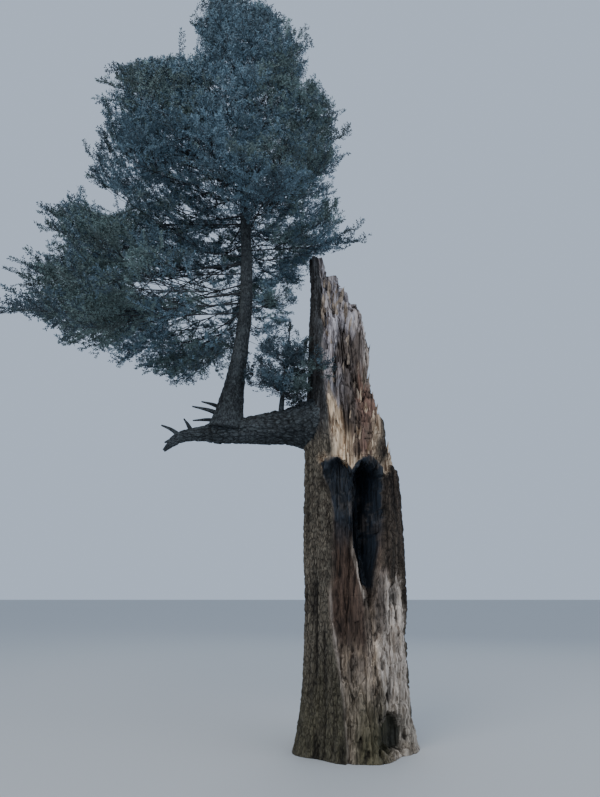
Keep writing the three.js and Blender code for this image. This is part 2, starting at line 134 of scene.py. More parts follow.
# Cells round jittered lattice points: the gap between the nearest and the second nearest
# distance, which is 0 on a border, and the nearest cell's own number from 0 to 1.
def cells(points, seed):
    base = np.floor(points)
    nearest = np.full(points.shape[:-1], cellRule["far"])
    second = nearest.copy()
    own = np.zeros(points.shape[:-1])
    for step in np.ndindex(3, 3, 3):
        corner = base + np.array(step) - 1
        jitter = np.stack([cornerValue(corner, seed + k) for k in range(3)], axis=-1)
        away = np.linalg.norm(corner + cellRule["edge"] + cellRule["jitter"] * jitter - points, axis=-1)
        closer = away < nearest
        second = np.where(closer, nearest, np.minimum(second, away))
        own = np.where(closer, cornerValue(corner, seed + cellRule["ownSeed"]), own)
        nearest = np.where(closer, away, nearest)
    return second - nearest, own


# A smooth route through points (a centripetal Catmull-Rom curve), sampled at even lengths.
# Gives the places and the directions.
def smoothRoute(route, shares):
    p = np.array(route, float)
    p = np.vstack([2 * p[0] - p[1], p, 2 * p[-1] - p[-2]])
    t = np.linspace(0, 1, routeSteps, endpoint=False)[:, None]
    fine = []
    for p0, p1, p2, p3 in zip(p, p[1:], p[2:], p[3:]):
        d0, d1, d2 = (math.sqrt(np.linalg.norm(b - a)) for a, b in ((p0, p1), (p1, p2), (p2, p3)))
        m1 = ((p1 - p0) / d0 - (p2 - p0) / (d0 + d1) + (p2 - p1) / d1) * d1
        m2 = ((p2 - p1) / d1 - (p3 - p1) / (d1 + d2) + (p3 - p2) / d2) * d1
        square, cube = 3 * (p2 - p1) - 2 * m1 - m2, 2 * (p1 - p2) + m1 + m2
        fine.append(p1 + m1 * t + square * t**2 + cube * t**3)
    fine = np.vstack([*fine, p[-2:-1]])
    length = np.concatenate([[0], np.cumsum(np.linalg.norm(np.diff(fine, axis=0), axis=1))])
    at = np.asarray(shares) * length[-1]
    places = np.stack([np.interp(at, length, fine[:, k]) for k in range(3)], axis=1)
    slopes = np.gradient(fine, length + np.arange(len(fine)) * tiniest, axis=0)
    headings = unit(np.stack([np.interp(at, length, slopes[:, k]) for k in range(3)], axis=1))
    return places, headings


# Meshes


# A mesh object from points, quads and triangles, with number attributes on its points. It rides
# on the tree's one body and stands for the named solids.
def addPiece(name, points, quads, triangles, materials, slot, nodes, values=None, dealt=None, smooth=True):
    mesh = bpy.data.meshes.new(name)
    mesh.vertices.add(len(points))
    mesh.vertices.foreach_set("co", np.asarray(points, np.float32).ravel())
    corners = np.concatenate([np.ravel(quads), np.ravel(triangles)]).astype(np.int32)
    sizes = np.concatenate([np.full(len(quads), 4), np.full(len(triangles), 3)]).astype(np.int32)
    mesh.loops.add(len(corners))
    mesh.polygons.add(len(sizes))
    mesh.polygons.foreach_set("loop_start", (np.cumsum(sizes) - sizes).astype(np.int32))
    mesh.polygons.foreach_set("vertices", corners)
    if dealt is not None:
        mesh.polygons.foreach_set("material_index", np.asarray(dealt, np.int32))
    mesh.polygons.foreach_set("use_smooth", np.full(len(sizes), smooth))
    for key, value in (values or {}).items():
        layer = mesh.attributes.new(key, "FLOAT", "POINT")
        layer.data.foreach_set("value", np.asarray(value, np.float32).ravel())
    mesh.update(calc_edges=True)
    for material in materials:
        mesh.materials.append(material)
    piece = bpy.data.objects.new(name, mesh)
    bpy.context.scene.collection.objects.link(piece)
    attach(piece, "root")
    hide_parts(*nodes)
    print(name, int(len(quads) * 2 + len(triangles)), "triangles")


# The faces of a closed tube: quads between its rings, and a fan at each end to one of the two
# points that come after the rings.
def tubeFaces(rings, columns):
    at = np.arange(rings * columns).reshape(rings, columns)
    nextOne = np.roll(at, -1, axis=1)
    quads = np.stack([at[:-1], nextOne[:-1], nextOne[1:], at[1:]], axis=-1).reshape(-1, 4)
    middle = np.full(columns, rings * columns)
    foot = np.stack([nextOne[0], at[0], middle], axis=-1)
    tip = np.stack([at[-1], nextOne[-1], middle + 1], axis=-1)
    return quads, np.vstack([foot, tip])


# A closed tube from a grid of points [ring, column] and the middles of its ends.
def closedGrid(grid, lowMiddle, highMiddle):
    return np.vstack([grid.reshape(-1, 3), lowMiddle, highMiddle]), *tubeFaces(*grid.shape[:2])


# Copies of one piece with its points [copy, point, xyz], each copy with the same faces.
def copies(points, quads, triangles):
    shift = np.arange(len(points))[:, None, None] * points.shape[1]
    return points.reshape(-1, 3), (quads + shift).reshape(-1, 4), (triangles + shift).reshape(-1, 3)


# Two directions square to each heading: across it and over it.
def squareTo(heading):
    helper = np.where(np.abs(heading[..., 2:]) > uprightShare, [1.0, 0, 0], [0, 0, 1.0])
    across = unit(np.cross(helper, heading))
    return across, np.cross(heading, across)


# Many thin tubes at once, from paths [tube, step, xyz] and radii [tube, step]. Each ends in a point.
def thinTubes(paths, radii, sides):
    count, steps = paths.shape[:2]
    across, over = squareTo(unit(np.gradient(paths, axis=1)))
    turn = np.arange(sides) * 2 * np.pi / sides
    ring = across[:, :-1, None] * np.cos(turn)[:, None] + over[:, :-1, None] * np.sin(turn)[:, None]
    body = paths[:, :-1, None] + ring * radii[:, :-1, None, None]
    points = np.concatenate([body.reshape(count, -1, 3), paths[:, :1], paths[:, -1:]], axis=1)
    return copies(points, *tubeFaces(steps - 1, sides))


# Many closed three-sided spikes from foot to tip, four triangles each.
def spikes(feet, tips, radii):
    across, over = squareTo(unit(tips - feet))
    turn = np.arange(3) * 2 * np.pi / 3
    ring = across[:, None] * np.cos(turn)[:, None] + over[:, None] * np.sin(turn)[:, None]
    points = np.concatenate([feet[:, None] + ring * radii[:, None, None], tips[:, None]], axis=1)
    return copies(points, np.zeros((0, 4), int), np.array([[0, 1, 3], [1, 2, 3], [2, 0, 3], [2, 1, 0]]))


# Several [points, quads, triangles] as one.
def joined(parts):
    points, quads, triangles, count = [], [], [], 0
    for p, q, t in parts:
        points.append(p)
        quads.append(np.reshape(q, (-1, 4)) + count)
        triangles.append(np.reshape(t, (-1, 3)) + count)
        count += len(p)
    return np.vstack(points), np.vstack(quads), np.vstack(triangles)


# Camera, floor and light

view = {
    "place": (-0.55, -6.6, 1.5), "upDegrees": 17, "focalPixels": 609, "imageHeight": 797,
    "sensor": 36, "clipEnd": 200,
}
floorLook = {"half": 60, "colour": (0.52, 0.53, 0.53, 1), "roughness": 0.9}
sky = {"colour": (0.50, 0.60, 0.75, 1), "strength": 0.95}
lamps = {
    "key": {"place": (-5, -8, 11), "aim": (-0.6, 0, 4), "size": 7, "power": 620, "colour": (1, 0.97, 0.93)},
    "fill": {"place": (8, -5, 6), "aim": (-0.3, 0, 3), "size": 8, "power": 200, "colour": (0.93, 0.96, 1)},
    "rim": {"place": (2, 9, 10), "aim": (-0.8, 0, 5), "size": 7, "power": 260, "colour": (0.93, 0.96, 1)},
}


def addCamera():
    data = bpy.data.cameras.new("camera")
    data.sensor_fit = "VERTICAL"
    data.sensor_height = view["sensor"]
    data.lens = view["focalPixels"] / view["imageHeight"] * data.sensor_height
    data.clip_end = view["clipEnd"]
    camera = bpy.data.objects.new("camera", data)
    camera.location = view["place"]
    camera.rotation_euler = (math.radians(90 + view["upDegrees"]), 0, 0)
    bpy.context.scene.collection.objects.link(camera)
    bpy.context.scene.camera = camera


def addFloor():
    half = floorLook["half"]
    corners = [(-half, -half, 0), (half, -half, 0), (half, half, 0), (-half, half, 0)]
    mesh = bpy.data.meshes.new("floor")
    mesh.from_pydata(corners, [], [(0, 1, 2, 3)])
    material = bpy.data.materials.new("paleFloor")
    material.use_nodes = True
    shader = material.node_tree.nodes["Principled BSDF"]
    shader.inputs["Base Color"].default_value = floorLook["colour"]
    shader.inputs["Roughness"].default_value = floorLook["roughness"]
    mesh.materials.append(material)
    floor = bpy.data.objects.new("floor", mesh)
    bpy.context.scene.collection.objects.link(floor)


def addSky():
    world = bpy.data.worlds.new("softSky")
    world.use_nodes = True
    world.node_tree.nodes["Background"].inputs["Color"].default_value = sky["colour"]
    world.node_tree.nodes["Background"].inputs["Strength"].default_value = sky["strength"]
    bpy.context.scene.world = world


def addLamp(name, look):
    data = bpy.data.lights.new(name, "AREA")
    data.shape = "DISK"
    data.size = look["size"]
    data.energy = look["power"]
    data.color = look["colour"]
    lamp = bpy.data.objects.new(name, data)
    lamp.location = look["place"]
    lamp.rotation_euler = (Vector(look["aim"]) - Vector(look["place"])).to_track_quat("-Z", "Y").to_euler()
    bpy.context.scene.collection.objects.link(lamp)


addCamera()
addFloor()
addSky()
for lampName, lampLook in lamps.items():
    addLamp(lampName, lampLook)
print("stage ready")

# Finishes


class Nodes:
    # A short way to add nodes to a material or a group and to join them.
    def __init__(self, tree):
        self.tree = tree

    def add(self, kind, settings=None, **inputs):
        node = self.tree.nodes.new(kind)
        for key, value in (settings or {}).items():
            setattr(node, key, value)
        for key, value in inputs.items():
            self.feed(node, key.replace("_", " "), value)
        return node

    def feed(self, node, key, value):
        socket = node.inputs[int(key[1:])] if key[0] == "i" and key[1:].isdigit() else node.inputs[key]
        if isinstance(value, bpy.types.NodeSocket):
            self.tree.links.new(value, socket)
        else:
            socket.default_value = value

    def mix(self, share, first, second):
        node = self.add("ShaderNodeMix", {"data_type": "RGBA"}, i0=share, i6=first, i7=second)
        return node.outputs[2]

    def maths(self, operation, first, second=0.0, clamp=False):
        settings = {"operation": operation, "use_clamp": clamp}
        return self.add("ShaderNodeMath", settings, i0=first, i1=second).outputs[0]

    def attribute(self, name):
        return self.add("ShaderNodeAttribute", {"attribute_name": name}).outputs["Fac"]

    def group(self, tree, **inputs):
        node = self.tree.nodes.new("ShaderNodeGroup")
        node.node_tree = tree
        for key, value in inputs.items():
            self.feed(node, key, value)
        return node

    # Stretches a value so that low becomes 0 and high becomes 1.
    def spread(self, value, low, high):
        return self.add("ShaderNodeMapRange", None, i0=value, i1=low, i2=high).outputs[0]


def newGroup(name, inputs, outputs):
    tree = bpy.data.node_groups.new(name, "ShaderNodeTree")
    for key, value in inputs.items():
        tree.interface.new_socket(key, in_out="INPUT", socket_type="NodeSocketFloat").default_value = value
    for key in outputs:
        tree.interface.new_socket(key, in_out="OUTPUT", socket_type="NodeSocketFloat")
    nodes = Nodes(tree)
    return tree, nodes, nodes.add("NodeGroupInput"), nodes.add("NodeGroupOutput")


fibreRule = {
    "given": {"Fineness": 60.0, "Stretch": 0.07}, "detail": 4.0, "distortion": 0.6,
    "broadShare": 0.3, "broadDetail": 3.0, "fineWeight": 0.55, "broadWeight": 0.45, "low": 0.36, "high": 0.64,
}


# Wood fibres that run up and down: fine noise on coordinates that are squeezed along Z.
# Streak is the colour share of the light wood, and Height the grooves between the fibres.
def fibreGroup():
    tree, nodes, given, result = newGroup("woodFibre", fibreRule["given"], ["Streak", "Height"])
    place = nodes.add("ShaderNodeTexCoord").outputs["Object"]
    squeeze = nodes.add("ShaderNodeCombineXYZ", None, i0=1.0, i1=1.0, i2=given.outputs["Stretch"])
    scaled = nodes.add("ShaderNodeVectorMath", {"operation": "MULTIPLY"}, i0=place, i1=squeeze.outputs[0])
    fine = nodes.add(
        "ShaderNodeTexNoise", None, Vector=scaled.outputs[0], Scale=given.outputs["Fineness"],
        Detail=fibreRule["detail"], Distortion=fibreRule["distortion"])
    broadScale = nodes.maths("MULTIPLY", given.outputs["Fineness"], fibreRule["broadShare"])
    broad = nodes.add(
        "ShaderNodeTexNoise", None, Vector=scaled.outputs[0], Scale=broadScale,
        Detail=fibreRule["broadDetail"])
    fineShare = nodes.maths("MULTIPLY", fine.outputs[0], fibreRule["fineWeight"])
    both = nodes.maths("ADD", fineShare, nodes.maths("MULTIPLY", broad.outputs[0], fibreRule["broadWeight"]))
    nodes.feed(result, "Streak", nodes.spread(both, fibreRule["low"], fibreRule["high"]))
    nodes.feed(result, "Height", fine.outputs[0])
    return tree


weatherRule = {
    "given": {"Patch": 14.0, "Cover": 0.5}, "slow": {"Scale": 1.7, "Detail": 4.0}, "low": 0.35, "high": 0.65,
    "spots": {"Detail": 5.0, "Roughness": 0.62}, "coverShare": 0.7, "spotEdge": 0.78, "steep": 9.0,
}


# Grown grey spots and stains: Spots is 1 on small round patches, Stain drifts slowly from 0 to 1.
def weatherGroup():
    tree, nodes, given, result = newGroup("weather", weatherRule["given"], ["Spots", "Stain"])
    place = nodes.add("ShaderNodeTexCoord").outputs["Object"]
    slow = nodes.add("ShaderNodeTexNoise", None, Vector=place, **weatherRule["slow"])
    patch = given.outputs["Patch"]
    spots = nodes.add("ShaderNodeTexNoise", None, Vector=place, Scale=patch, **weatherRule["spots"])
    cover = nodes.maths("MULTIPLY", given.outputs["Cover"], weatherRule["coverShare"])
    edge = nodes.maths("MULTIPLY", nodes.maths("SUBTRACT", 1.0, cover), weatherRule["spotEdge"])
    above = nodes.maths("SUBTRACT", spots.outputs[0], edge)
    nodes.feed(result, "Spots", nodes.maths("MULTIPLY", above, weatherRule["steep"], clamp=True))
    nodes.feed(result, "Stain", nodes.spread(slow.outputs[0], weatherRule["low"], weatherRule["high"]))
    return tree


scaleRule = {
    "given": {"Fineness": 34.0, "Stretch": 0.5, "Sideways": 1.0}, "wobble": {"Scale": 12.0, "Detail": 2.0},
    "wobbleReach": (0.05, 0.05, 0.05), "crack": 0.16, "grain": {"Scale": 150.0, "Detail": 3.0},
    "grainShare": 0.5,
}


# Small scales of bark between the modelled plates: Crack is 1 in the gaps, and Height the relief.
# Stretch squeezes the scales along Z and Sideways along X, so that they follow the limb.
def scaleGroup():
    tree, nodes, given, result = newGroup("barkScale", scaleRule["given"], ["Crack", "Height"])
    place = nodes.add("ShaderNodeTexCoord").outputs["Object"]
    sideways, stretch = given.outputs["Sideways"], given.outputs["Stretch"]
    squeeze = nodes.add("ShaderNodeCombineXYZ", None, i0=sideways, i1=1.0, i2=stretch)
    scaled = nodes.add("ShaderNodeVectorMath", {"operation": "MULTIPLY"}, i0=place, i1=squeeze.outputs[0])
    wobble = nodes.add("ShaderNodeTexNoise", None, Vector=scaled.outputs[0], **scaleRule["wobble"])
    moved = nodes.add(
        "ShaderNodeVectorMath", {"operation": "MULTIPLY_ADD"},
        i0=wobble.outputs["Color"], i1=scaleRule["wobbleReach"], i2=scaled.outputs[0])
    border = nodes.add(
        "ShaderNodeTexVoronoi", {"feature": "DISTANCE_TO_EDGE"},
        Vector=moved.outputs[0], Scale=given.outputs["Fineness"])
    rise = nodes.spread(border.outputs[0], 0.0, scaleRule["crack"])
    grain = nodes.add("ShaderNodeTexNoise", None, Vector=scaled.outputs[0], **scaleRule["grain"])
    rough = nodes.maths("MULTIPLY", grain.outputs[0], scaleRule["grainShare"])
    nodes.feed(result, "Crack", nodes.maths("SUBTRACT", 1.0, rise))
    nodes.feed(result, "Height", nodes.maths("ADD", rise, rough))
    return tree


woodFibre, weather, barkScale = fibreGroup(), weatherGroup(), scaleGroup()

# Zones of the trunk: [attribute, dark colour, light colour], each laid over those before it
trunkZones = [
    ["bare", (0.048, 0.033, 0.024, 1), (0.480, 0.385, 0.300, 1)],
    ["silver", (0.050, 0.038, 0.040, 1), (0.700, 0.655, 0.680, 1)],
    ["tan", (0.170, 0.100, 0.055, 1), (0.955, 0.745, 0.520, 1)],
    ["red", (0.009, 0.005, 0.004, 1), (0.125, 0.068, 0.046, 1)],
    ["pale", (0.190, 0.148, 0.115, 1), (0.835, 0.715, 0.605, 1)],
    ["dark", (0.014, 0.010, 0.008, 1), (0.092, 0.064, 0.048, 1)],
    ["brick", (0.022, 0.011, 0.009, 1), (0.310, 0.185, 0.140, 1)],
    ["cold", (0.011, 0.012, 0.015, 1), (0.098, 0.104, 0.112, 1)],
    ["char", (0.0028, 0.0034, 0.0048, 1), (0.018, 0.026, 0.038, 1)],
    ["moss", (0.036, 0.033, 0.017, 1), (0.135, 0.120, 0.066, 1)],
]
trunkFinish = {
    "dark": (0.014, 0.011, 0.009, 1), "light": (0.205, 0.172, 0.128, 1), "lichen": (0.31, 0.28, 0.215, 1),
    "fibre": {"Fineness": 70.0, "Stretch": 0.06}, "scale": {"Fineness": 52.0, "Stretch": 0.26},
    "worn": {"Patch": 16.0, "Cover": 0.5}, "crackShade": 0.75, "stain": (-0.6, 1.0), "lichenShare": 0.26,
    # The near-black colour on the next line is painted shade, laid over the wood and bark where their relief
    # sinks in
    "streak": (0.15, 0.85), "paintedShade": (0.006, 0.004, 0.003, 1), "paintedShadeShare": 0.86,
    "roughness": 0.9, "charShine": 0.42, "streakRoughness": 0.06, "bumpReach": 0.009, "bump": 0.9,
}
limbFinish = {
    "dark": (0.010, 0.012, 0.014, 1), "light": (0.088, 0.102, 0.112, 1), "lichen": (0.140, 0.165, 0.170, 1),
    # The near-black colour on the next line is painted shade in the furrows of the limbs' bark
    "fineness": 46.0, "worn": {"Patch": 22.0, "Cover": 0.55}, "crackShade": 0.8, "stain": (-0.5, 1.1),
    "lichenShare": 0.34, "paintedShade": (0.004, 0.004, 0.004, 1), "roughness": 0.95, "lightShine": 0.15,
    "bumpReach": 0.008, "bump": 0.8,
}
# [material, squeeze along Z, squeeze along X] of the scales on each limb
limbScales = {
    "living_bough": ["levelLimb", 1.0, 0.34], "leader": ["uprightLimb", 0.45, 1.0],
    "young_stem": ["slimLimb", 0.6, 1.0],
}
dullShine = 0.3  # specular level of wood, bark and needles


def blankMaterial(name, roughness):
    material = bpy.data.materials.new(name)
    material.use_nodes = True
    shader = material.node_tree.nodes["Principled BSDF"]
    shader.inputs["Roughness"].default_value = roughness
    shader.inputs["Specular IOR Level"].default_value = dullShine
    return material, Nodes(material.node_tree), shader


def addBump(nodes, shader, height, look):
    bump = nodes.add("ShaderNodeBump", None, Strength=look["bump"], Distance=look["bumpReach"], Height=height)
    nodes.feed(shader, "Normal", bump.outputs[0])


# Bark from cracks darkened with painted shade to light scales, with stains and lichen. Gives its colour and
# its light share.
def barkColour(nodes, scale, look):
    worn = nodes.group(weather, **look["worn"])
    shade = nodes.maths("SUBTRACT", 1.0, nodes.maths("MULTIPLY", scale.outputs["Crack"], look["crackShade"]))
    share = nodes.maths("MULTIPLY", shade, nodes.spread(worn.outputs["Stain"], *look["stain"]))
    bark = nodes.mix(share, look["dark"], look["light"])
    spots = nodes.maths("MULTIPLY", worn.outputs["Spots"], look["lichenShare"])
    return nodes.mix(spots, bark, look["lichen"]), share


def trunkMaterial():
    look = trunkFinish
    material, nodes, shader = blankMaterial("trunkSurface", look["roughness"])
    fibre = nodes.group(woodFibre, **look["fibre"])
    scale = nodes.group(barkScale, **look["scale"])
    colour = barkColour(nodes, scale, look)[0]
    streak = nodes.spread(fibre.outputs["Streak"], *look["streak"])
    for name, dark, pale in trunkZones:
        colour = nodes.mix(nodes.attribute(name), colour, nodes.mix(streak, dark, pale))
    # Painted shade: the colour darkens towards a near-black one in the hollows of the relief
    deep = nodes.mix(look["paintedShadeShare"], colour, look["paintedShade"])
    nodes.feed(shader, "Base Color", nodes.mix(nodes.attribute("paintedShade"), colour, deep))
    shine = nodes.maths("MULTIPLY", nodes.attribute("char"), look["charShine"])
    rough = nodes.maths("SUBTRACT", look["roughness"], shine)
    streaky = nodes.maths("MULTIPLY", streak, look["streakRoughness"])
    nodes.feed(shader, "Roughness", nodes.maths("ADD", rough, streaky))
    bare, barkHeight, woodHeight = nodes.attribute("bare"), scale.outputs["Height"], fibre.outputs["Height"]
    relief = nodes.add("ShaderNodeMix", {"data_type": "FLOAT"}, i0=bare, i2=barkHeight, i3=woodHeight)
    addBump(nodes, shader, relief.outputs[0], look)
    return material


def limbMaterial(name, upright, sideways):
    look = limbFinish
    material, nodes, shader = blankMaterial(name, look["roughness"])
    scale = nodes.group(barkScale, Fineness=look["fineness"], Stretch=upright, Sideways=sideways)
    colour, share = barkColour(nodes, scale, look)
    # Painted shade: the bark darkens towards near-black in its furrows
    nodes.feed(shader, "Base Color", nodes.mix(nodes.attribute("paintedShade"), colour, look["paintedShade"]))
    shine = nodes.maths("MULTIPLY", share, look["lightShine"])
    nodes.feed(shader, "Roughness", nodes.maths("SUBTRACT", look["roughness"], shine))
    addBump(nodes, shader, scale.outputs["Height"], look)
    return material


trunkSurface = trunkMaterial()
limbSurfaces = {limb: limbMaterial(*row) for limb, row in limbScales.items()}
print("bark and wood ready")

# Trunk: the source's sizes again, in metres

trunk = {
    "breastHeight": 1.3, "breastRadius": 0.53, "taper": 0.018, "lean": 0.008,
    "flareReach": 0.07, "flareHeight": 0.38,
    "buttressCount": 5, "buttressReach": 0.038, "buttressHeight": 0.42, "buttressTurn": 0.9,
    "collarReach": 0.045, "collarTurn": 0.4, "collarMiddle": 3.18, "collarHalf": 0.26,
    "waves": [(3, 0.011, 0.7), (2, 0.007, -0.43), (9, 0.013, 1.3)],
    "barkThickness": 0.036, "sectionBack": 0.06, "breakFoot": 2.78, "leftwards": 1.0,
    "lastRing": 5.265, "tip": (-0.335, 0.06, 5.335), "frontShare": 0.7,
    "columns": 464, "firstRings": 158, "secondRings": 158, "highRings": 206, "split": 1.4,
}
# Outer edge above the break, torn front, back of the shell and right edge of the bark
breakEdge = np.array([
    [2.78, 0.44], [2.87, 0.344], [3.11, 0.324], [3.31, 0.275], [3.51, 0.226], [3.69, 0.204],
    [3.93, 0.229], [4.05, 0.227], [4.17, 0.181], [4.39, 0.163], [4.52, 0.1], [4.54, 0.01],
    [4.72, -0.033], [4.82, -0.097], [4.93, -0.133], [4.97, -0.236], [5.1, -0.265], [5.265, -0.309],
])
tornFace = np.array([[2.78, 0.425], [3.3, 0.37], [4.4, 0.235], [5.24, 0.09]])
shellBack = np.array([[2.78, 0.54], [4.3, 0.47], [5.24, 0.215]])
barkEdge = np.array([
    [0, -0.15], [0.3, -0.16], [0.75, -0.21], [1.0, -0.255], [1.2, -0.29], [1.6, -0.305], [2.2, -0.305],
    [2.78, -0.40],
])
# Left edge of the torn wood, above the break
tornEdge = np.array([[2.78, -0.335], [3.15, -0.345], [3.34, -0.39], [3.6, -0.36], [5.27, -0.352]])
hollows = {
    "deep": {
        "middle": 0.124, "half": 0.176, "foot": 1.25, "top": 2.72, "depth": 0.4, "point": 0.62, "steep": 4.5,
    },
    "shallow": {
        "middle": -0.19, "half": 0.205, "foot": 0.9, "top": 2.75, "depth": 0.13, "point": 1.1, "steep": 2.6,
    },
    "foot": {
        "middle": 0.345, "half": 0.185, "foot": 0.02, "top": 0.38, "depth": 0.19, "point": 0.05, "steep": 2.8,
    },
}
hollowCurve = 0.8  # how round the pointed foot of a hollow is
narrowest = 1e-4
# Strips of torn wood that broke off at their own heights
tornStrips = {
    "perRadian": 13, "sway": 0.5, "swayPitch": 2.1, "rise": 0.25, "seed": 5, "shift": 0.2,
    "from": (2.9, 3.3), "to": (5.0, 5.2), "backShare": 0.5,
}
# How the trunk's edges wander: [noise scale, seed, reach, middle]
wander = {
    "warp": [(9, 9, 4.5), 31, 0.045, 0.5], "drift": [(13, 13, 3.0), 35, 0.22, 0.5],
    "ragged": [(14, 14, 2.0), 33, 0.05, 0.75], "burr": [(21, 21, 4.2), 37, 0.075, 0.5],
}
edgeWave = {"reach": 0.024, "count": 8, "pitch": 0.8}
facing = {"least": 0.02, "far": 9.0}
# Where the bark is gone, in metres back from the axis, right of it and up
bareRule = {
    "backEdge": 0.15, "backWarp": 1.5, "backBurr": 2.2, "backDrift": 0.6, "edge": (-0.010, 0.010),
    "paleTop": 1.62, "paleFade": (-0.02, 0.02), "paleDrift": 2.2, "paleRight": 0.40, "rightSlope": 0.6,
    "paleBack": 0.25, "backSlope": 1.1, "blotScale": (6, 6, 1), "blotSeed": 39, "blotReach": 0.35,
    "frontRight": 0.262, "shoulderBack": 0.05, "shoulderFoot": (2.60, 2.64), "shoulderLeft": (0.25, 0.27),
    "shoulderWander": 1.5, "hollowWarp": 1.4, "hollowBurr": 2.5, "hollowEdge": (0.004, 0.02),
    "shoulder": (2.70, 2.87), "torn": (0.004, 0.03), "tornThrough": 0.05,
}
front = -math.pi / 2


def along(table, z):
    return np.interp(z, table[:, 0], table[:, 1])


# Depth of a hollow: full inside, pointed at its foot and arched at its top.
def hollowDepth(hollow, across, z):
    rise = np.clip((z - hollow["foot"]) / hollow["point"], 0, 1)
    arch = np.sqrt(np.clip((hollow["top"] - z) / hollow["half"], 0, 1))
    half = np.maximum(hollow["half"] * rise**hollowCurve * arch, narrowest)
    inside = 1 - np.abs(across - hollow["middle"]) / half
    return hollow["depth"] * np.sqrt(rise) * np.clip(inside * hollow["steep"], 0, 1)


# How far a place is outside a hollow's side, in metres across.
def fromHollow(hollow, across, z):
    rise = np.clip((z - hollow["foot"]) / hollow["point"], 0, 1)
    return np.abs(across - hollow["middle"]) - hollow["half"] * rise**hollowCurve


# Radius over the bark: taper, root flare, buttresses, the collar round the bough and slow waves.
def barkRadius(bearing, z):
    r = trunk["breastRadius"] - trunk["taper"] * (z - trunk["breastHeight"])
    r = r + trunk["flareReach"] * np.exp(-z / trunk["flareHeight"])
    lobe = np.cos(trunk["buttressCount"] * bearing + trunk["buttressTurn"])
    r = r + trunk["buttressReach"] * np.exp(-z / trunk["buttressHeight"]) * lobe
    fromBough = np.arctan2(np.sin(bearing - np.pi), np.cos(bearing - np.pi)) / trunk["collarTurn"]
    fromMiddle = (z - trunk["collarMiddle"]) / trunk["collarHalf"]
    r = r + trunk["collarReach"] * np.exp(-(fromBough**2) - fromMiddle**2)
    return r + sum(reach * np.sin(count * bearing + z / pitch) for count, reach, pitch in trunk["waves"])


def sectionMiddle(z):
    moved = ease(trunk["breakFoot"], trunk["breakFoot"] + trunk["leftwards"], z)
    axis = trunk["lean"] * z
    left = axis - barkRadius(np.pi, z)
    x = axis + ((left + axis + along(breakEdge, z)) / 2 - axis) * moved
    y = trunk["sectionBack"] + ((along(shellBack, z) - along(tornFace, z)) / 2 - trunk["sectionBack"]) * moved
    return x, y


# The section's middle and the level direction of a bearing.
def sectionFrame(bearing, z):
    outward = np.stack([np.cos(bearing), np.sin(bearing), z * 0], axis=-1)
    return np.stack([*sectionMiddle(z), z], axis=-1), outward


# Value noise at a place, about its middle, for one of the wandering edges.
def wandering(name, place):
    scale, seed, reach, middle = wander[name]
    return reach * (layeredNoise(place * scale, seed) - middle)


# How much higher or lower each strip of torn wood broke off.
def stripJump(bearing, z):
    sway = tornStrips["sway"] * np.sin(z * tornStrips["swayPitch"])
    strip = np.stack([bearing * tornStrips["perRadian"] + sway, z * tornStrips["rise"], z * 0], axis=-1)
    jump = tornStrips["shift"] * (cells(strip, tornStrips["seed"])[1] - 0.5)
    return jump * ease(*tornStrips["from"], z) * (1 - ease(*tornStrips["to"], z))


# Where the bark is gone below the break: the pale wood of the foot, the front as far as its right
# edge, and the shoulder, all between the bark's left edge and the back.
def barkGone(across, deep, z, warp, drift, burr, lower):
    rule = bareRule
    wavy = across + warp
    backEdge = rule["backEdge"] + rule["backWarp"] * warp + rule["backBurr"] * burr
    backEdge = backEdge + rule["backDrift"] * drift
    pastLeft = ease(*rule["edge"], wavy - along(barkEdge, z))
    pale = 1 - ease(*rule["paleFade"], z + rule["paleDrift"] * drift - rule["paleTop"] + lower)
    beforeRight = (deep < 0) * (1 - ease(*rule["edge"], wavy - rule["frontRight"]))
    high = ease(*rule["shoulderFoot"], z + rule["shoulderWander"] * drift + rule["shoulderWander"] * warp)
    onShoulder = (deep < rule["shoulderBack"]) * high * ease(*rule["shoulderLeft"], wavy)
    return (deep < backEdge) * pastLeft * np.maximum.reduce([pale, beforeRight, onShoulder])


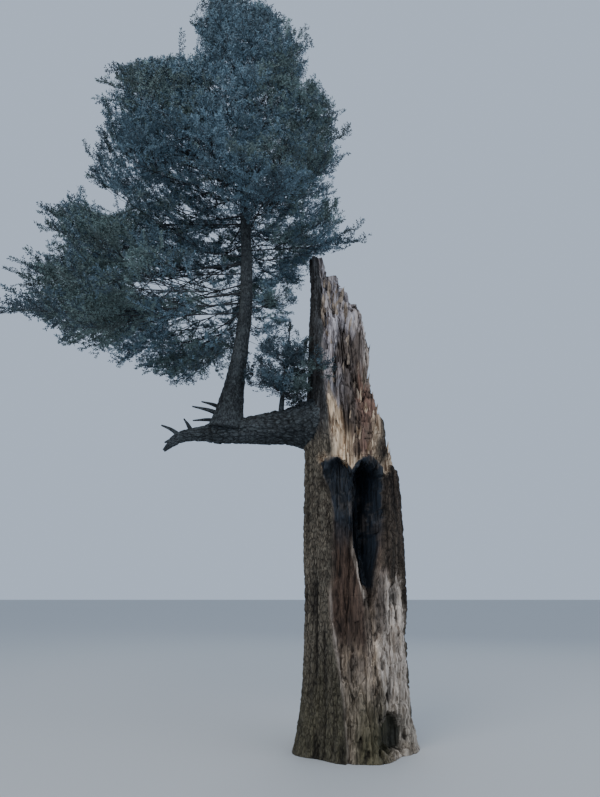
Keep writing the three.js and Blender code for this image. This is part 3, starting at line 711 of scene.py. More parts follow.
# How far the trunk goes from its section's middle, and the zones that this place lies in. Above the
# break it is the least of the ways to the bark, the break's edge, the torn face and the back. Below
# it is the way to the bark, less the bark where it is gone and the depth of the hollows. The two
# meet in a ragged shoulder.
def trunkReach(bearing, z, fine=False):
    rule, least = bareRule, facing["least"]
    mx, my = sectionMiddle(z)
    dx, dy = np.cos(bearing), np.sin(bearing)
    px = mx - trunk["lean"] * z
    b = px * dx + my * dy
    out = -b + np.sqrt(b * b - (px * px + my * my - barkRadius(bearing, z) ** 2))
    across, deep = px + out * dx, my + out * dy
    ragged = edgeWave["reach"] * np.sin(edgeWave["count"] * bearing + z / edgeWave["pitch"])
    lower = rule["rightSlope"] * np.maximum(rule["paleRight"] - across, 0)
    jump, warp, drift, burr = 0, 0, 0, 0
    if fine:
        place = np.stack([mx + out * dx, my + out * dy, z], axis=-1)
        jump = stripJump(bearing, z)
        warp, drift, burr = (wandering(name, place) for name in ("warp", "drift", "burr"))
        ragged = ragged + wandering("ragged", place)
        blot = rule["blotReach"] * (softNoise(place * rule["blotScale"], rule["blotSeed"]) - 0.5)
        lower = lower + rule["backSlope"] * np.maximum(deep + rule["paleBack"], 0) + blot
    backHeight = z + tornStrips["backShare"] * jump
    ways = [
        (along(breakEdge, z + jump) + ragged - px) / np.where(dx > least, dx, least),
        (-along(tornFace, z) + ragged - my) / np.where(dy < -least, dy, -least),
        (along(shellBack, backHeight) + ragged - my) / np.where(dy > least, dy, least),
    ]
    sides = (dx > least, dy < -least, dy > least)
    right, torn, back = (np.where(side, way, facing["far"]) for way, side in zip(ways, sides))
    above = np.minimum(np.minimum(out, right), np.minimum(torn, back))
    bare = barkGone(across, deep, z, warp, drift, burr, lower)
    wavyAcross, wavyHeight = across + warp + burr, z + rule["hollowWarp"] * warp + rule["hollowBurr"] * burr
    depths = {name: (deep < 0) * hollowDepth(h, wavyAcross, wavyHeight) for name, h in hollows.items()}
    bare = np.maximum(bare, ease(*rule["hollowEdge"], np.maximum(depths["deep"], depths["foot"])))
    below = out - trunk["barkThickness"] * bare - np.maximum.reduce(list(depths.values()))
    if not fine:
        return np.where(z > trunk["breakFoot"], above, below)
    isAbove = ease(*rule["shoulder"], z + drift)
    pastTear = ease(*rule["edge"], px + out * dx - along(tornEdge, z) + warp)
    gone = np.maximum(ease(*rule["torn"], out - above), 0) * pastTear
    isThrough = (out - above > rule["tornThrough"]) * (px + above * dx > along(tornEdge, z))
    gone = np.maximum(gone, isThrough)
    reach = below + (above - below) * isAbove
    bare = bare + (gone - bare) * isAbove
    zones = {"bare": bare, "across": px + reach * dx, "above": isAbove, "warp": warp}
    zones.update({name: (1 - isAbove) * depth / hollows[name]["depth"] for name, depth in depths.items()})
    return reach, zones


# The sum of reach x (value - middle) over the rows [value's name, reach, middle].
def weighed(rows, values):
    return sum(reach * (values[name] - middle) for name, reach, middle in rows)


# A relief and the painted shade of its hollows, from 0 to 1: the weighed rows of a look. "sunk" is how deep
# the relief itself is.
def reliefOf(look, values):
    relief = weighed(look["relief"], values)
    values["sunk"] = ease(*sunkDepth, -relief)
    return relief, np.clip(weighed(look["shade"], values), 0, 1)


# Places moved by soft noise, the same way along each axis.
def swayed(p, sway):
    reach, scale, seed = sway
    return reach * (softNoise(p * scale, seed)[..., None] - 0.5)


# Several noises at a place, from rows of name: (noise, scale, seed) and at times the octaves.
def noisesAt(place, rows):
    return {name: noise(place * scale, *rest) for name, (noise, scale, *rest) in rows.items()}


# In each look a sway is (reach, scale, seed) and a cell is (size, seed). The noises of "moved" are
# taken at the swayed place and those of "still" at the place itself.
# The "shade" rows of each look give painted shade, darker in furrows, cracks, pits and sunk places
sunkDepth = (0.03, 0.10)
barkLook = {
    "sway": (0.022, 14, 3), "plate": ((0.036, 0.036, 0.088), 11), "furrow": (0.02, 0.36),
    "moved": {"ridges": (ridgeNoise, (15, 15, 1.5), 17)},
    "still": {"small": (layeredNoise, (70, 70, 34), 19)},
    "relief": [["own", 0.007, 0.8], ["furrow", -0.011, 0], ["ridges", 0.030, 0.93], ["small", 0.006, 0.5]],
    "shade": [["furrow", 0.55, 0], ["ridges", -1.7, 0.74]],
}
tornLook = {
    "bend": (0.09, (2.6, 2.6, 1.3), 41), "lift": (0.5, (9, 9, 2), 42), "sway": (0.02, 23, 44),
    "slab": ((0.075, 0.075, 0.80), 43), "slabEdge": (0.01, 0.09),
    "chunk": ((0.032, 0.032, 0.40), 45), "chunkEdge": (0.01, 0.1),
    "moved": {
        "broad": (layeredNoise, (17, 17, 1.7), 51), "middling": (ridgeNoise, (26, 26, 2.2), 53),
        "fine": (layeredNoise, (80, 80, 6), 59, 2), "pit": (layeredNoise, (12, 12, 4.6), 61),
        "crack": (ridgeNoise, (7, 7, 0.7), 67),
    },
    "still": {"crosswise": (ridgeNoise, (5, 5, 11), 68)},
    "pitEdge": (0.60, 0.72), "pitFoot": (3.2, 3.7), "crackEdge": (0.962, 1.0), "crossEdge": (0.90, 0.98),
    "crossHeight": (2.86, 3.7, 0.12), "crossLeft": (-0.02, 0.06),
    "relief": [
        ["slab", 0.034, 1], ["chunk", 0.011, 1], ["middling", 0.024, 0.95], ["fine", 0.010, 0.5],
        ["broad", 0.075, 0.66], ["pit", -0.05, 0], ["crack", -0.045, 0], ["crosswise", -0.014, 0],
    ],
    "shade": [
        ["slabEdge", 0.35, 0], ["chunkEdge", 0.15, 0], ["sunk", 1.2, 0], ["middling", -1.6, 0.42],
        ["crosswise", 0.7, 0], ["crack", 0.5, 0],
    ],
}
paleLook = {
    "bend": (0.05, (3, 3, 1.5), 71), "sway": (0.03, 20, 75), "flake": ((0.06, 0.06, 0.15), 79),
    "moved": {
        "flute": (ridgeNoise, (18, 18, 1.5), 73), "split": (ridgeNoise, (7, 7, 0.6), 83),
        "fine": (layeredNoise, (60, 60, 12), 89, 2), "pit": (layeredNoise, (15, 15, 6.5), 91, 2),
    },
    "still": {"lump": (layeredNoise, (13, 13, 8), 87)},
    "flakeEdge": (0.01, 0.12), "splitEdge": (0.955, 1.0), "pitEdge": (0.58, 0.68),
    "relief": [
        ["flute", 0.026, 0.92], ["own", 0.014, 0.8], ["flake", -0.008, 0], ["split", -0.03, 0],
        ["lump", 0.08, 0.66], ["fine", 0.010, 0.5], ["pit", -0.028, 0],
    ],
    "shade": [
        ["flake", 0.45, 0], ["split", 1, 0], ["pit", 0.9, 0], ["flute", -1.9, 0.52], ["lump", -2.8, 0.42],
    ],
}
charLook = {
    "sway": (0.04, (9, 9, 4), 95), "block": ((0.046, 0.046, 0.15), 97), "craze": (0.03, 0.22),
    "moved": {"bulge": (ridgeNoise, (9, 9, 1.5), 101), "strand": (ridgeNoise, (24, 24, 2.6), 103)},
    "relief": [["bulge", 0.075, 0.85], ["craze", -0.008, 0], ["own", 0.010, 0.5], ["strand", 0.02, 0.8]],
    "shade": [["craze", 0.5, 0], ["bulge", -1.8, 0.6], ["strand", -0.9, 0.5]],
}


# Cells of a size: the share that their borders take, which fades over an edge, and their numbers.
def cellsOf(place, cell, edge):
    size, seed = cell
    gap, own = cells(place / size, seed)
    return 1 - ease(*edge, gap), own


# Relief of the bark: narrow plates between furrows, on long upright ridges.
def barkRelief(p):
    look = barkLook
    moved = p + swayed(p, look["sway"])
    values = {**noisesAt(moved, look["moved"]), **noisesAt(p, look["still"])}
    values["furrow"], values["own"] = cellsOf(moved, look["plate"], look["furrow"])
    return reliefOf(look, values)


# Relief of the torn wood: slabs and chunks that broke off at their own depths, long fibres, pits
# and narrow cracks, and cracks across the grain. All of it is cut in from the torn face.
def tornRelief(p):
    look = tornLook
    bend, lift = (swayed(p, look[key])[..., 0] for key in ("bend", "lift"))
    q = p + np.stack([bend, bend, lift], axis=-1)
    values = {**noisesAt(q, look["moved"]), **noisesAt(p, look["still"])}
    values["slabEdge"], values["slab"] = cellsOf(q, look["slab"], look["slabEdge"])
    shifted = q + swayed(p, look["sway"])
    values["chunkEdge"], values["chunk"] = cellsOf(shifted, look["chunk"], look["chunkEdge"])
    crossed = within(*look["crossHeight"], p[..., 2]) * ease(*look["crossLeft"], p[..., 0])
    values["pit"] = ease(*look["pitEdge"], values["pit"]) * ease(*look["pitFoot"], p[..., 2])
    values["crack"] = ease(*look["crackEdge"], values["crack"])
    values["crosswise"] = crossed * ease(*look["crossEdge"], values["crosswise"])
    return reliefOf(look, values)


# Relief of bare wood that weathered smooth: shallow flutes, a few splits, peeled flakes and pits.
def paleRelief(p):
    look = paleLook
    q = p + swayed(p, look["bend"])
    values = {**noisesAt(q, look["moved"]), **noisesAt(p, look["still"])}
    values["flake"], values["own"] = cellsOf(q + swayed(q, look["sway"]), look["flake"], look["flakeEdge"])
    values["split"] = ease(*look["splitEdge"], values["split"])
    values["pit"] = ease(*look["pitEdge"], values["pit"])
    return reliefOf(look, values)


# Relief of the burnt wood: soft upright bulges crazed into small blocks.
def charRelief(p):
    look = charLook
    moved = p + swayed(p, look["sway"])
    values = noisesAt(moved, look["moved"])
    values["craze"], values["own"] = cellsOf(moved, look["block"], look["craze"])
    return reliefOf(look, values)


# Noises that the colours follow
blotches = {
    "drift": (layeredNoise, (7, 7, 1.7), 107), "fleck": (layeredNoise, (22, 22, 3), 115),
    "blot": (layeredNoise, (8, 8, 5), 111), "sway": (layeredNoise, (8, 8, 1.3), 109),
    "fray": (layeredNoise, (24, 24, 6), 113), "ash": (layeredNoise, (24, 24, 11), 119),
    "brickBlot": (layeredNoise, (15, 15, 3), 121), "tanBlot": (layeredNoise, (10, 10, 4), 117),
}
# How far the noises move the measures that bound the patches
measureRule = {"warp": 0.5, "height": 0.45, "tall": 1.2, "fleck": 0.25, "sway": 0.20, "fray": 0.06}
charRule = {
    "arches": [[-0.23, 0.20, 2.79], [0.135, 0.185, 2.79]],  # [middle, half width, top] of the burnt lobes
    "bow": 0.16, "edge": (-0.012, 0.012), "right": (0.285, 0.305), "barkGap": 0.016,
    "barkFade": (-0.02, 0.02), "leftFoot": (1.76, 2.20), "deepEdge": (0.10, 0.28), "deepFoot": (1.38, 1.5),
    "foot": 0.85, "footShadeEdge": (0.35, 0.7), "ash": 0.16, "ashEdge": (0.54, 0.66),
    "ashHeight": (1.95, 2.4, 0.1), "rimWidth": (-0.012, 0.026, 0.006), "rimHeight": (1.3, 1.95, 0.1),
    "rimLeft": 0.12,
}

# Patches of colour on the bare wood: [how they are laid on, strength in each zone, bounds]. A bound
# is a measure to multiply by, or (measure, kind, numbers): "in" a range with a margin, "past" or
# "before" a fade, "less" by a share past a fade, or "under" a number.
woodPatches = [
    ["add", {"tan": 0.55}, ("tall", "in", 2.70, 3.05, 0.05), ("z", "past", 2.55, 2.7)],
    ["add", {"tan": 0.5}, ("tall", "in", 2.95, 3.25, 0.05), ("side", "past", 0.22, 0.3),
     ("z", "past", 2.55, 2.7)],
    ["max", {"tan": 1}, ("tall", "in", 2.70, 3.52, 0.06), ("side", "before", -0.08, 0.02),
     ("z", "past", 2.55, 2.7)],
    ["max", {"tan": 0.9}, ("overArch", "in", 0.0, 0.05, 0.02), ("a", "in", 0.0, 0.26, 0.04)],
    ["max", {"tan": 0.7}, ("z", "past", 2.5, 2.6), ("z", "before", 2.92, 3.05), ("a", "past", 0.27, 0.33)],
    ["max", {"tan": 0.5}, "low", ("tanBlot", "past", 0.50, 0.62), ("z", "before", 1.5, 1.7),
     ("z", "past", 0.5, 0.8)],
    ["max", {"red": 0.9, "dark": 0.45}, "low", ("height", "in", 0.95, 2.2, 0.12),
     ("side", "in", -0.4, 0.02, 0.03)],
    ["max", {"red": 0.63, "dark": 0.315}, "low", ("height", "in", 1.28, 2.3, 0.08),
     ("side", "in", 0.16, 0.30, 0.03)],
    ["max", {"red": 0.7}, "above", ("tall", "in", 2.95, 3.45, 0.06), ("side", "in", -0.05, 0.26, 0.05)],
    ["add", {"brick": 0.8}, "above", ("tall", "in", 2.86, 3.62, 0.10), ("side", "in", 0.02, 0.32, 0.05),
     ("brickBlot", "past", 0.36, 0.56)],
    ["max", {"pale": 1}, "low", ("z", "before", 1.5, 1.7), ("side", "past", 0.10, 0.24),
     ("blot", "less", 0.6, 0.56, 0.66)],
    ["max", {"pale": 0.6}, ("z", "past", 3.4, 3.8), ("side", "past", 0.1, 0.2)],
    ["max", {"pale": 0.8}, "low", ("pastBark", "in", 0.004, 0.026, 0.008), ("z", "under", 2.3)],
    ["max", {"pale": 0.8}, "hollowRim"],
    ["max", {"dark": 0.85}, ("tall", "in", 3.35, 4.22, 0.10), ("side", "in", -0.17, 0.13, 0.05)],
    ["max", {"dark": 0.65}, "low", ("height", "in", 0.75, 1.3, 0.1), ("side", "in", -0.22, 0.03, 0.04)],
    ["max", {"dark": 0.55}, "low", ("blot", "past", 0.52, 0.62), ("z", "before", 1.4, 1.7),
     ("side", "before", 0.15, 0.3)],
    ["max", {"dark": 0.75}, "low", ("height", "in", 1.1, 1.62, 0.08), ("side", "in", 0.0, 0.25, 0.04)],
    # Painted shade: the wood inside the hollow at the foot turns dark
    ["max", {"dark": 1}, ("foot", "past", 0.25, 0.6)],
    ["add", {"moss": 0.4}, "low", ("height", "before", 0.15, 0.9)],
    ["add", {"moss": 0.5}, "low", ("height", "before", 0.15, 0.9), ("a", "in", -0.05, 0.24, 0.08)],
    ["add", {"silver": 0.35}, "above", ("tall", "past", 3.30, 3.5)],
    ["add", {"silver": 0.2}, "above", ("tall", "past", 3.30, 3.5), ("z", "past", 3.7, 4.2)],
    ["add", {"silver": 0.45}, "above", ("tall", "past", 3.30, 3.5), ("blot", "past", 0.44, 0.56)],
]
# Patches on the bark itself
barkPatches = [
    ["add", {"cold": 0.9}, ("z", "past", 2.85, 3.3)],
    ["add", {"moss": 0.55}, ("height", "before", 0.1, 1.2)],
    ["add", {"dark": 0.76}, ("a", "past", 0.15, 0.3), ("z", "in", 1.2, 3.0, 0.1)],
]
bounded = {
    "in": lambda value, *numbers: within(*numbers, value),
    "past": lambda value, *numbers: ease(*numbers, value),
    "before": lambda value, *numbers: 1 - ease(*numbers, value),
    "less": lambda value, share, *numbers: 1 - share * ease(*numbers, value),
    "under": lambda value, number: value < number,
}
laidOn = {"add": np.add, "max": np.maximum}
zoneNames = [row[0] for row in trunkZones]


# Lays patches on the zones' masks, each one the product of its strength, its bounds and a share.
def layPatches(masks, patches, measures, share):
    for how, strengths, *bounds in patches:
        patch = share
        for bound in bounds:
            if isinstance(bound, str):
                patch = patch * measures[bound]
            else:
                measure, kind, *numbers = bound
                patch = patch * bounded[kind](measures[measure], *numbers)
        for zone, strength in strengths.items():
            masks[zone] = laidOn[how](masks[zone], strength * patch)


# What the patches are bounded by: height, distance right of the axis, ragged copies of both, and
# how far a place is over the burnt arches, past the bark's edge and outside the hollow.
def woodMeasures(p, zones):
    noise, rule = noisesAt(p, blotches), measureRule
    z, a = p[..., 2], zones["across"] + rule["warp"] * zones["warp"]
    drift = noise["drift"] - 0.5
    frayed = rule["fray"] * drift + rule["fray"] * (noise["fray"] - 0.5)
    arch = np.maximum.reduce([
        top - charRule["bow"] * ((a - middle) / half) ** 2 for middle, half, top in charRule["arches"]
    ])
    rim = within(*charRule["rimWidth"], fromHollow(hollows["deep"], a, z))
    return {
        **noise, "z": z, "a": a, "height": z + rule["height"] * drift, "frayed": frayed, "arch": arch,
        "tall": z + rule["tall"] * drift + rule["fleck"] * (noise["fleck"] - 0.5),
        "side": a + rule["sway"] * (noise["sway"] - 0.5), "overArch": z - arch + 0.5 * frayed,
        "low": 1 - zones["above"], "above": zones["above"], "deep": zones["deep"], "foot": zones["foot"],
        "pastBark": a - along(barkEdge, z),
        "hollowRim": rim * within(*charRule["rimHeight"], z) * (a < charRule["rimLeft"]),
    }


# The share of burnt wood: under the two arches, left of its right edge and right of the bark. On
# the left it ends where the rust begins, and in the deep hollow it goes on to the hollow's foot.
# Inside the hollow at the foot its black is painted shade.
def charShare(measures):
    rule = charRule
    z, a, frayed = measures["z"], measures["a"], measures["frayed"]
    burnt = 1 - ease(*rule["edge"], z - measures["arch"] + frayed)
    burnt = burnt * (1 - ease(*rule["right"], a + 0.5 * frayed))
    burnt = burnt * ease(*rule["barkFade"], measures["pastBark"] - rule["barkGap"])
    burnt = burnt * (1 - measures["hollowRim"])
    leftBurnt = ease(*rule["leftFoot"], measures["height"])
    inside = ease(*rule["deepEdge"], measures["deep"]) * ease(*rule["deepFoot"], z)
    # Painted shade: the char's black fills the hollow at the foot
    foot = rule["foot"] * measures["low"] * ease(*rule["footShadeEdge"], measures["foot"])
    ash = ease(*rule["ashEdge"], measures["ash"]) * within(*rule["ashHeight"], z)
    return np.maximum(burnt * np.maximum(leftBurnt, inside), foot) * (1 - rule["ash"] * ash)


# Which colours lie where on the trunk: a mask from 0 to 1 for each zone.
def woodZones(p, zones):
    measures = woodMeasures(p, zones)
    masks = {name: np.zeros(p.shape[:-1]) for name in zoneNames}
    layPatches(masks, woodPatches, measures, zones["bare"])
    layPatches(masks, barkPatches, measures, 1 - zones["bare"])
    masks["char"] = charShare(measures) * zones["bare"]
    masks["bare"] = zones["bare"]
    return masks


reliefRule = {
    "tornFoot": (2.5, 2.75), "rot": 0.85, "rotHeight": (0.95, 2.2, 0.1), "rotRight": (-0.05, 0.1),
    "footFade": 0.05, "footLeast": 0.25, "tipFade": 0.25, "tipLeast": 0.3, "thinnest": 0.012,
}


# The relief and the painted shade of its hollows at each place: bark, smooth or torn wood, and char.
def woodRelief(place, masks, across):
    z, rule = place[..., 2], reliefRule
    rotten = within(*rule["rotHeight"], z) * (1 - ease(*rule["rotRight"], across)) * rule["rot"]
    isTorn = np.maximum(ease(*rule["tornFoot"], z), rotten)
    layers = zip(barkRelief(place), tornRelief(place), paleRelief(place), charRelief(place))
    both = []
    for bark, torn, pale, char in layers:
        wood = pale + (torn - pale) * isTorn
        layer = bark + (wood - bark) * masks["bare"]
        both.append(layer + (char - layer) * masks["char"])
    return both


# A stretch of the trunk between two heights: a grid of bearings and heights, moved in and out by
# the relief of each zone.
def trunkPiece(low, high, rings):
    turn = np.linspace(-1, 1, trunk["columns"], endpoint=False)
    share = trunk["frontShare"]
    bearings = front + np.pi * (share * turn + (1 - share) * turn**3)
    z, bearing = np.meshgrid(np.linspace(low, high, rings), bearings, indexing="ij")
    reach, zones = trunkReach(bearing, z, fine=True)
    middle, outward = sectionFrame(bearing, z)
    place = middle + outward * reach[..., None]
    masks = woodZones(place, zones)
    relief, paintedShade = woodRelief(place, masks, zones["across"])
    rule = reliefRule
    foot = ease(0, rule["footFade"], z)
    tip = 1 - ease(trunk["lastRing"] - rule["tipFade"], trunk["lastRing"], z)
    relief = relief * (rule["footLeast"] + (1 - rule["footLeast"]) * foot)
    reach = np.maximum(reach + relief * (rule["tipLeast"] + (1 - rule["tipLeast"]) * tip), rule["thinnest"])
    return middle + outward * reach[..., None], masks, paintedShade


def buildTrunk():
    foot, split = trunk["breakFoot"], trunk["split"]
    stretches = [
        ("trunk_foot", 0.0, split, trunk["firstRings"]),
        ("trunk_hollow", split, foot, trunk["secondRings"]),
        ("trunk_shell", foot, trunk["lastRing"], trunk["highRings"]),
    ]
    for name, low, high, rings in stretches:
        grid, masks, paintedShade = trunkPiece(low, high, rings)
        lowMiddle = grid[0].mean(axis=0)
        highMiddle = np.array(trunk["tip"]) if name == "trunk_shell" else grid[-1].mean(axis=0)
        points, quads, triangles = closedGrid(grid, lowMiddle, highMiddle)
        # The painted shade of the relief's hollows goes with the masks as an attribute
        masks["paintedShade"] = paintedShade
        values = {key: np.append(mask.ravel(), [0.0, 0.0]) for key, mask in masks.items()}
        addPiece(name, points, quads, triangles, [trunkSurface], "bark", ["trunk"], values)


buildTrunk()

# Shards of torn wood: thin blades with a broken point, rooted in the trunk. The groups stand along
# the broken edge, on the torn face and on the ledge over the burnt wood.
shardGroups = [
    {"count": 34, "bearings": (-1.0, 0.9), "heights": (2.95, 5.1)},
    {"count": 80, "bearings": (-2.3, -0.7), "heights": (2.85, 4.9)},
    {"count": 30, "bearings": (-1.3, -0.1), "heights": (2.70, 2.84)},
]
shardRule = {
    "seed": 12, "length": (0.06, 0.20), "width": (0.016, 0.045), "thick": (0.008, 0.022), "sunk": 0.05,
    "barest": 0.6, "mostChar": 0.2, "away": (0.1, 0.3), "aside": 0.06, "highShort": 0.5, "high": (4.6, 5.1),
    "slant": (-0.9, 0.9), "tan": 0.7, "tanTop": 3.4,
}
# Rings of a blade: [share of its length, share of its width]
bladeRings = [[-0.25, 1.0], [0.55, 0.8]]
bladeFoot = 0.3


# Blades [blade, corner]: two rings of four corners, the upper one narrower, and a slanted point.
def shardMeshes(root, heading, across, length, width, thick, slant):
    over = np.cross(heading, across)
    corners = []
    for rise, narrow in bladeRings:
        for u, v in ((-1, -1), (1, -1), (1, 1), (-1, 1)):
            corner = root + heading * (length * rise)[:, None] + across * (u * width * narrow / 2)[:, None]
            corners.append(corner + over * (v * thick / 2)[:, None])
    corners.append(root - heading * (bladeFoot * length)[:, None])
    corners.append(root + heading * length[:, None] + across * (slant * width / 2)[:, None])
    return copies(np.stack(corners, axis=1), *tubeFaces(2, 4))


def buildShards():
    rule = shardRule
    rng = np.random.default_rng(rule["seed"])
    bearing = np.concatenate([rng.uniform(*group["bearings"], group["count"]) for group in shardGroups])
    z = np.concatenate([rng.uniform(*group["heights"], group["count"]) for group in shardGroups])
    reach, zones = trunkReach(bearing, z, fine=True)
    middle, outward = sectionFrame(bearing, z)
    root = middle + outward * (reach - rule["sunk"])[:, None]
    keep = (zones["bare"] > rule["barest"]) & (woodZones(root, zones)["char"] < rule["mostChar"])
    root, outward, z = root[keep], outward[keep], z[keep]
    count = len(root)
    length, width, thick = (rng.uniform(*rule[key], count) for key in ("length", "width", "thick"))
    away = rng.uniform(*rule["away"], count)[:, None]
    aside = rng.normal(0, rule["aside"], (count, 3))
    heading = unit(np.array([0.0, 0, 1]) + outward * away + aside)
    across = unit(np.cross(outward, heading))
    length = length * (1 - rule["highShort"] * ease(*rule["high"], z))
    slant = rng.uniform(*rule["slant"], count)
    points, quads, triangles = shardMeshes(root, heading, across, length, width, thick, slant)
    corners = len(points) // count
    masks = {name: np.zeros(len(points)) for name in zoneNames}
    masks.update({"bare": np.ones(len(points)), "paintedShade": np.zeros(len(points))})
    masks["tan"] = np.repeat(rule["tan"] * (z < rule["tanTop"]), corners)
    addPiece("trunk_shards", points, quads, triangles, [trunkSurface], "bark", ["trunk"], masks, smooth=False)


buildShards()
print("trunk ready")

# Living bough, leader and young stem: tapering limbs along the source's routes

limbs = {
    "living_bough": {
        "route": [(-0.33, 0, 3.205), (-0.56, -0.005, 3.195), (-1.14, -0.02, 3.14), (-1.54, -0.01, 3.115),
                  (-1.895, 0, 3.06), (-2.055, 0, 2.915)],
        "radii": [(0, 0.33), (0.1, 0.262), (0.2, 0.205), (0.45, 0.152), (0.62, 0.128), (0.74, 0.072),
                  (0.92, 0.052), (1, 0.02)],
        "columns": 150, "rings": 250, "rough": 1.0,
    },
    "leader": {
        "route": [(-1.365, -0.015, 3.15), (-1.318, -0.01, 3.52), (-1.236, 0, 4.17), (-1.197, 0.01, 4.64),
                  (-1.209, 0.015, 5.47), (-1.32, 0.01, 7.0), (-1.49, 0, 9.0), (-1.54, 0, 9.95)],
        "radii": [(0, 0.205), (0.035, 0.15), (0.08, 0.12), (0.16, 0.086), (0.35, 0.064), (0.7, 0.032),
                  (1, 0.007)],
        "columns": 60, "rings": 460, "rough": 0.55,
    },
    "young_stem": {
        "route": [(-0.763, -0.07, 3.23), (-0.755, -0.09, 3.42), (-0.7, -0.11, 3.9), (-0.662, -0.11, 4.4)],
        "radii": [(0, 0.034), (0.3, 0.024), (1, 0.005)],
        "columns": 20, "rings": 120, "rough": 0.2,
    },
}
# Broken stubs: [distance left of the axis, height, length, degrees up, share to the side]
stubs = {
    "living_bough": [(1.86, 3.06, 0.265, 30, -0.2), (1.74, 3.08, 0.25, 60, 0.25), (1.93, 3.0, 0.13, 8, 0.3)],
    "leader": [(1.38, 3.235, 0.4, 9, 0.35), (1.37, 3.29, 0.39, 15, -0.3), (1.35, 3.35, 0.35, 24, 0.1)],
    "young_stem": [],
}
stubLook = {
    "foot": 0.034, "middle": (0.6, 0.02), "tip": 0.008, "columns": 22, "rings": 36, "rough": 0.5,
    "bend": 0.02,
}
# Bark of the limbs. It fades where a limb is thinner than "thick", to the least share "least".
limbRelief = {
    "steep": 0.7, "sway": (0.03, 12), "plate": (0.045, 0.045, 0.10), "furrow": (0.03, 0.32),
    "ridges": (10, 10, 1.6), "bulge": (5, 5, 2.2), "thick": 0.12, "least": 0.05, "shadeGain": 1.3,
    "firstSeed": 200, "limbSeed": 50, "stubSeed": 10,
    "relief": [["own", 0.010, 0.5], ["furrow", -0.013, 0], ["ridges", 0.028, 0.6], ["bulge", 0.05, 0.5]],
    "shade": [["furrow", 0.7, 0], ["ridges", -0.8, 0.5]],
}


# A frame across a route: a fixed helper made square to the heading at each place.
def crossFrame(headings):
    isSteep = abs(headings[:, 2].mean()) > limbRelief["steep"]
    helper = np.array([1.0, 0, 0] if isSteep else [0, 0, 1.0])
    normal = unit(helper - headings * (headings @ helper)[:, None])
    return normal, np.cross(headings, normal)


# A limb of round section with bark: plates and ridges that follow it, fading to its tip, and the painted
# shade of its furrows.
def limbGrid(route, radii, columns, rings, rough, seed):
    look = limbRelief
    shares = np.linspace(0, 1, rings)
    places, headings = smoothRoute(route, shares)
    normal, over = crossFrame(headings)
    radius = np.interp(shares, *np.array(radii).T)[:, None]
    turn = np.arange(columns) * 2 * np.pi / columns
    ring = normal[:, None] * np.cos(turn)[:, None] + over[:, None] * np.sin(turn)[:, None]
    length = np.linalg.norm(np.diff(places, axis=0), axis=1).sum()
    lengthwise = np.broadcast_to(shares[:, None] * length, (rings, columns))
    around = np.stack([np.cos(turn) * radius, np.sin(turn) * radius, lengthwise], axis=-1)
    moved = around + swayed(around, (*look["sway"], seed))
    gap, own = cells(moved / look["plate"], seed + 1)
    values = {
        "own": own, "furrow": 1 - ease(*look["furrow"], gap),
        "ridges": ridgeNoise(around * look["ridges"], seed + 2),
        "bulge": layeredNoise(around * look["bulge"], seed + 3, 2),
    }
    room = np.clip(radius / look["thick"], look["least"], 1) * rough
    relief = room * weighed(look["relief"], values)
    paintedShade = weighed(look["shade"], values) * np.clip(room * look["shadeGain"], 0, 1)
    grid = places[:, None] + ring * (radius + relief)[..., None]
    return grid, np.clip(paintedShade, 0, 1), places[0], places[-1]


# The route and the sizes of a broken stub, bent a little upwards.
def stubSizes(left, z, length, degrees, side):
    look, up = stubLook, math.radians(degrees)
    foot = np.array([-left, 0, z])
    tip = foot + [-length * math.cos(up), side * length, length * math.sin(up)]
    bend = (foot + tip) / 2 + [0, 0, look["bend"]]
    radii = [(0, look["foot"]), look["middle"], (1, look["tip"])]
    return [foot, bend, tip], radii, look["columns"], look["rings"], look["rough"]


def buildLimb(name, seed):
    parts, shades = [], []
    sizes = [tuple(limbs[name].values())] + [stubSizes(*stub) for stub in stubs[name]]
    for k, size in enumerate(sizes):
        grid, paintedShade, low, high = limbGrid(*size, seed + limbRelief["stubSeed"] * k)
        parts.append(closedGrid(grid, low, high))
        # The painted shade of the limb's furrows, as an attribute
        shades.append(np.append(paintedShade.ravel(), [0.0, 0.0]))
    values = {"paintedShade": np.concatenate(shades)}
    addPiece(name + "_bark", *joined(parts), [limbSurfaces[name]], "limb_bark", [name], values)


for place, limbName in enumerate(limbs):
    buildLimb(limbName, limbRelief["firstSeed"] + limbRelief["limbSeed"] * place)
print("limbs ready")

# Crown: the source's rule again, in metres and degrees

crown = {
    "whorlFoot": 4.85, "whorlGap": 0.47, "whorlSpread": 0.9, "goldenShare": 0.618, "whorlBearing": 175,
    "boughsPerWhorl": [5, 5, 5, 5, 5, 5, 4, 4, 4, 3, 2], "depthShare": 0.74, "frontFoot": 5.56,
    "openSide": -0.3, "slopeFoot": -0.05, "slopeGain": 0.14, "upturn": 0.05,
    "reachSpread": 0.1, "slopeSpread": 0.1, "degreeSpread": 14, "bend": 0.16, "footShare": 0.75,
    "lineSteps": 5, "stemSteps": 400,
}
leftReach = np.array([
    [4.85, 2.9], [5.05, 2.85], [5.35, 2.4], [5.8, 2.35], [6.25, 2.0], [6.7, 1.72], [7.3, 1.74],
    [7.74, 1.7], [8.06, 0.68], [9.1, 0.48], [9.6, 0.3],
])
rightReach = np.array([
    [4.85, 0.62], [5.35, 1.15], [5.6, 1.34], [5.9, 1.22], [6.25, 0.98], [6.7, 1.38], [7.1, 1.35],
    [7.5, 1.05], [8.4, 1.0], [8.9, 0.64], [9.6, 0.26],
])
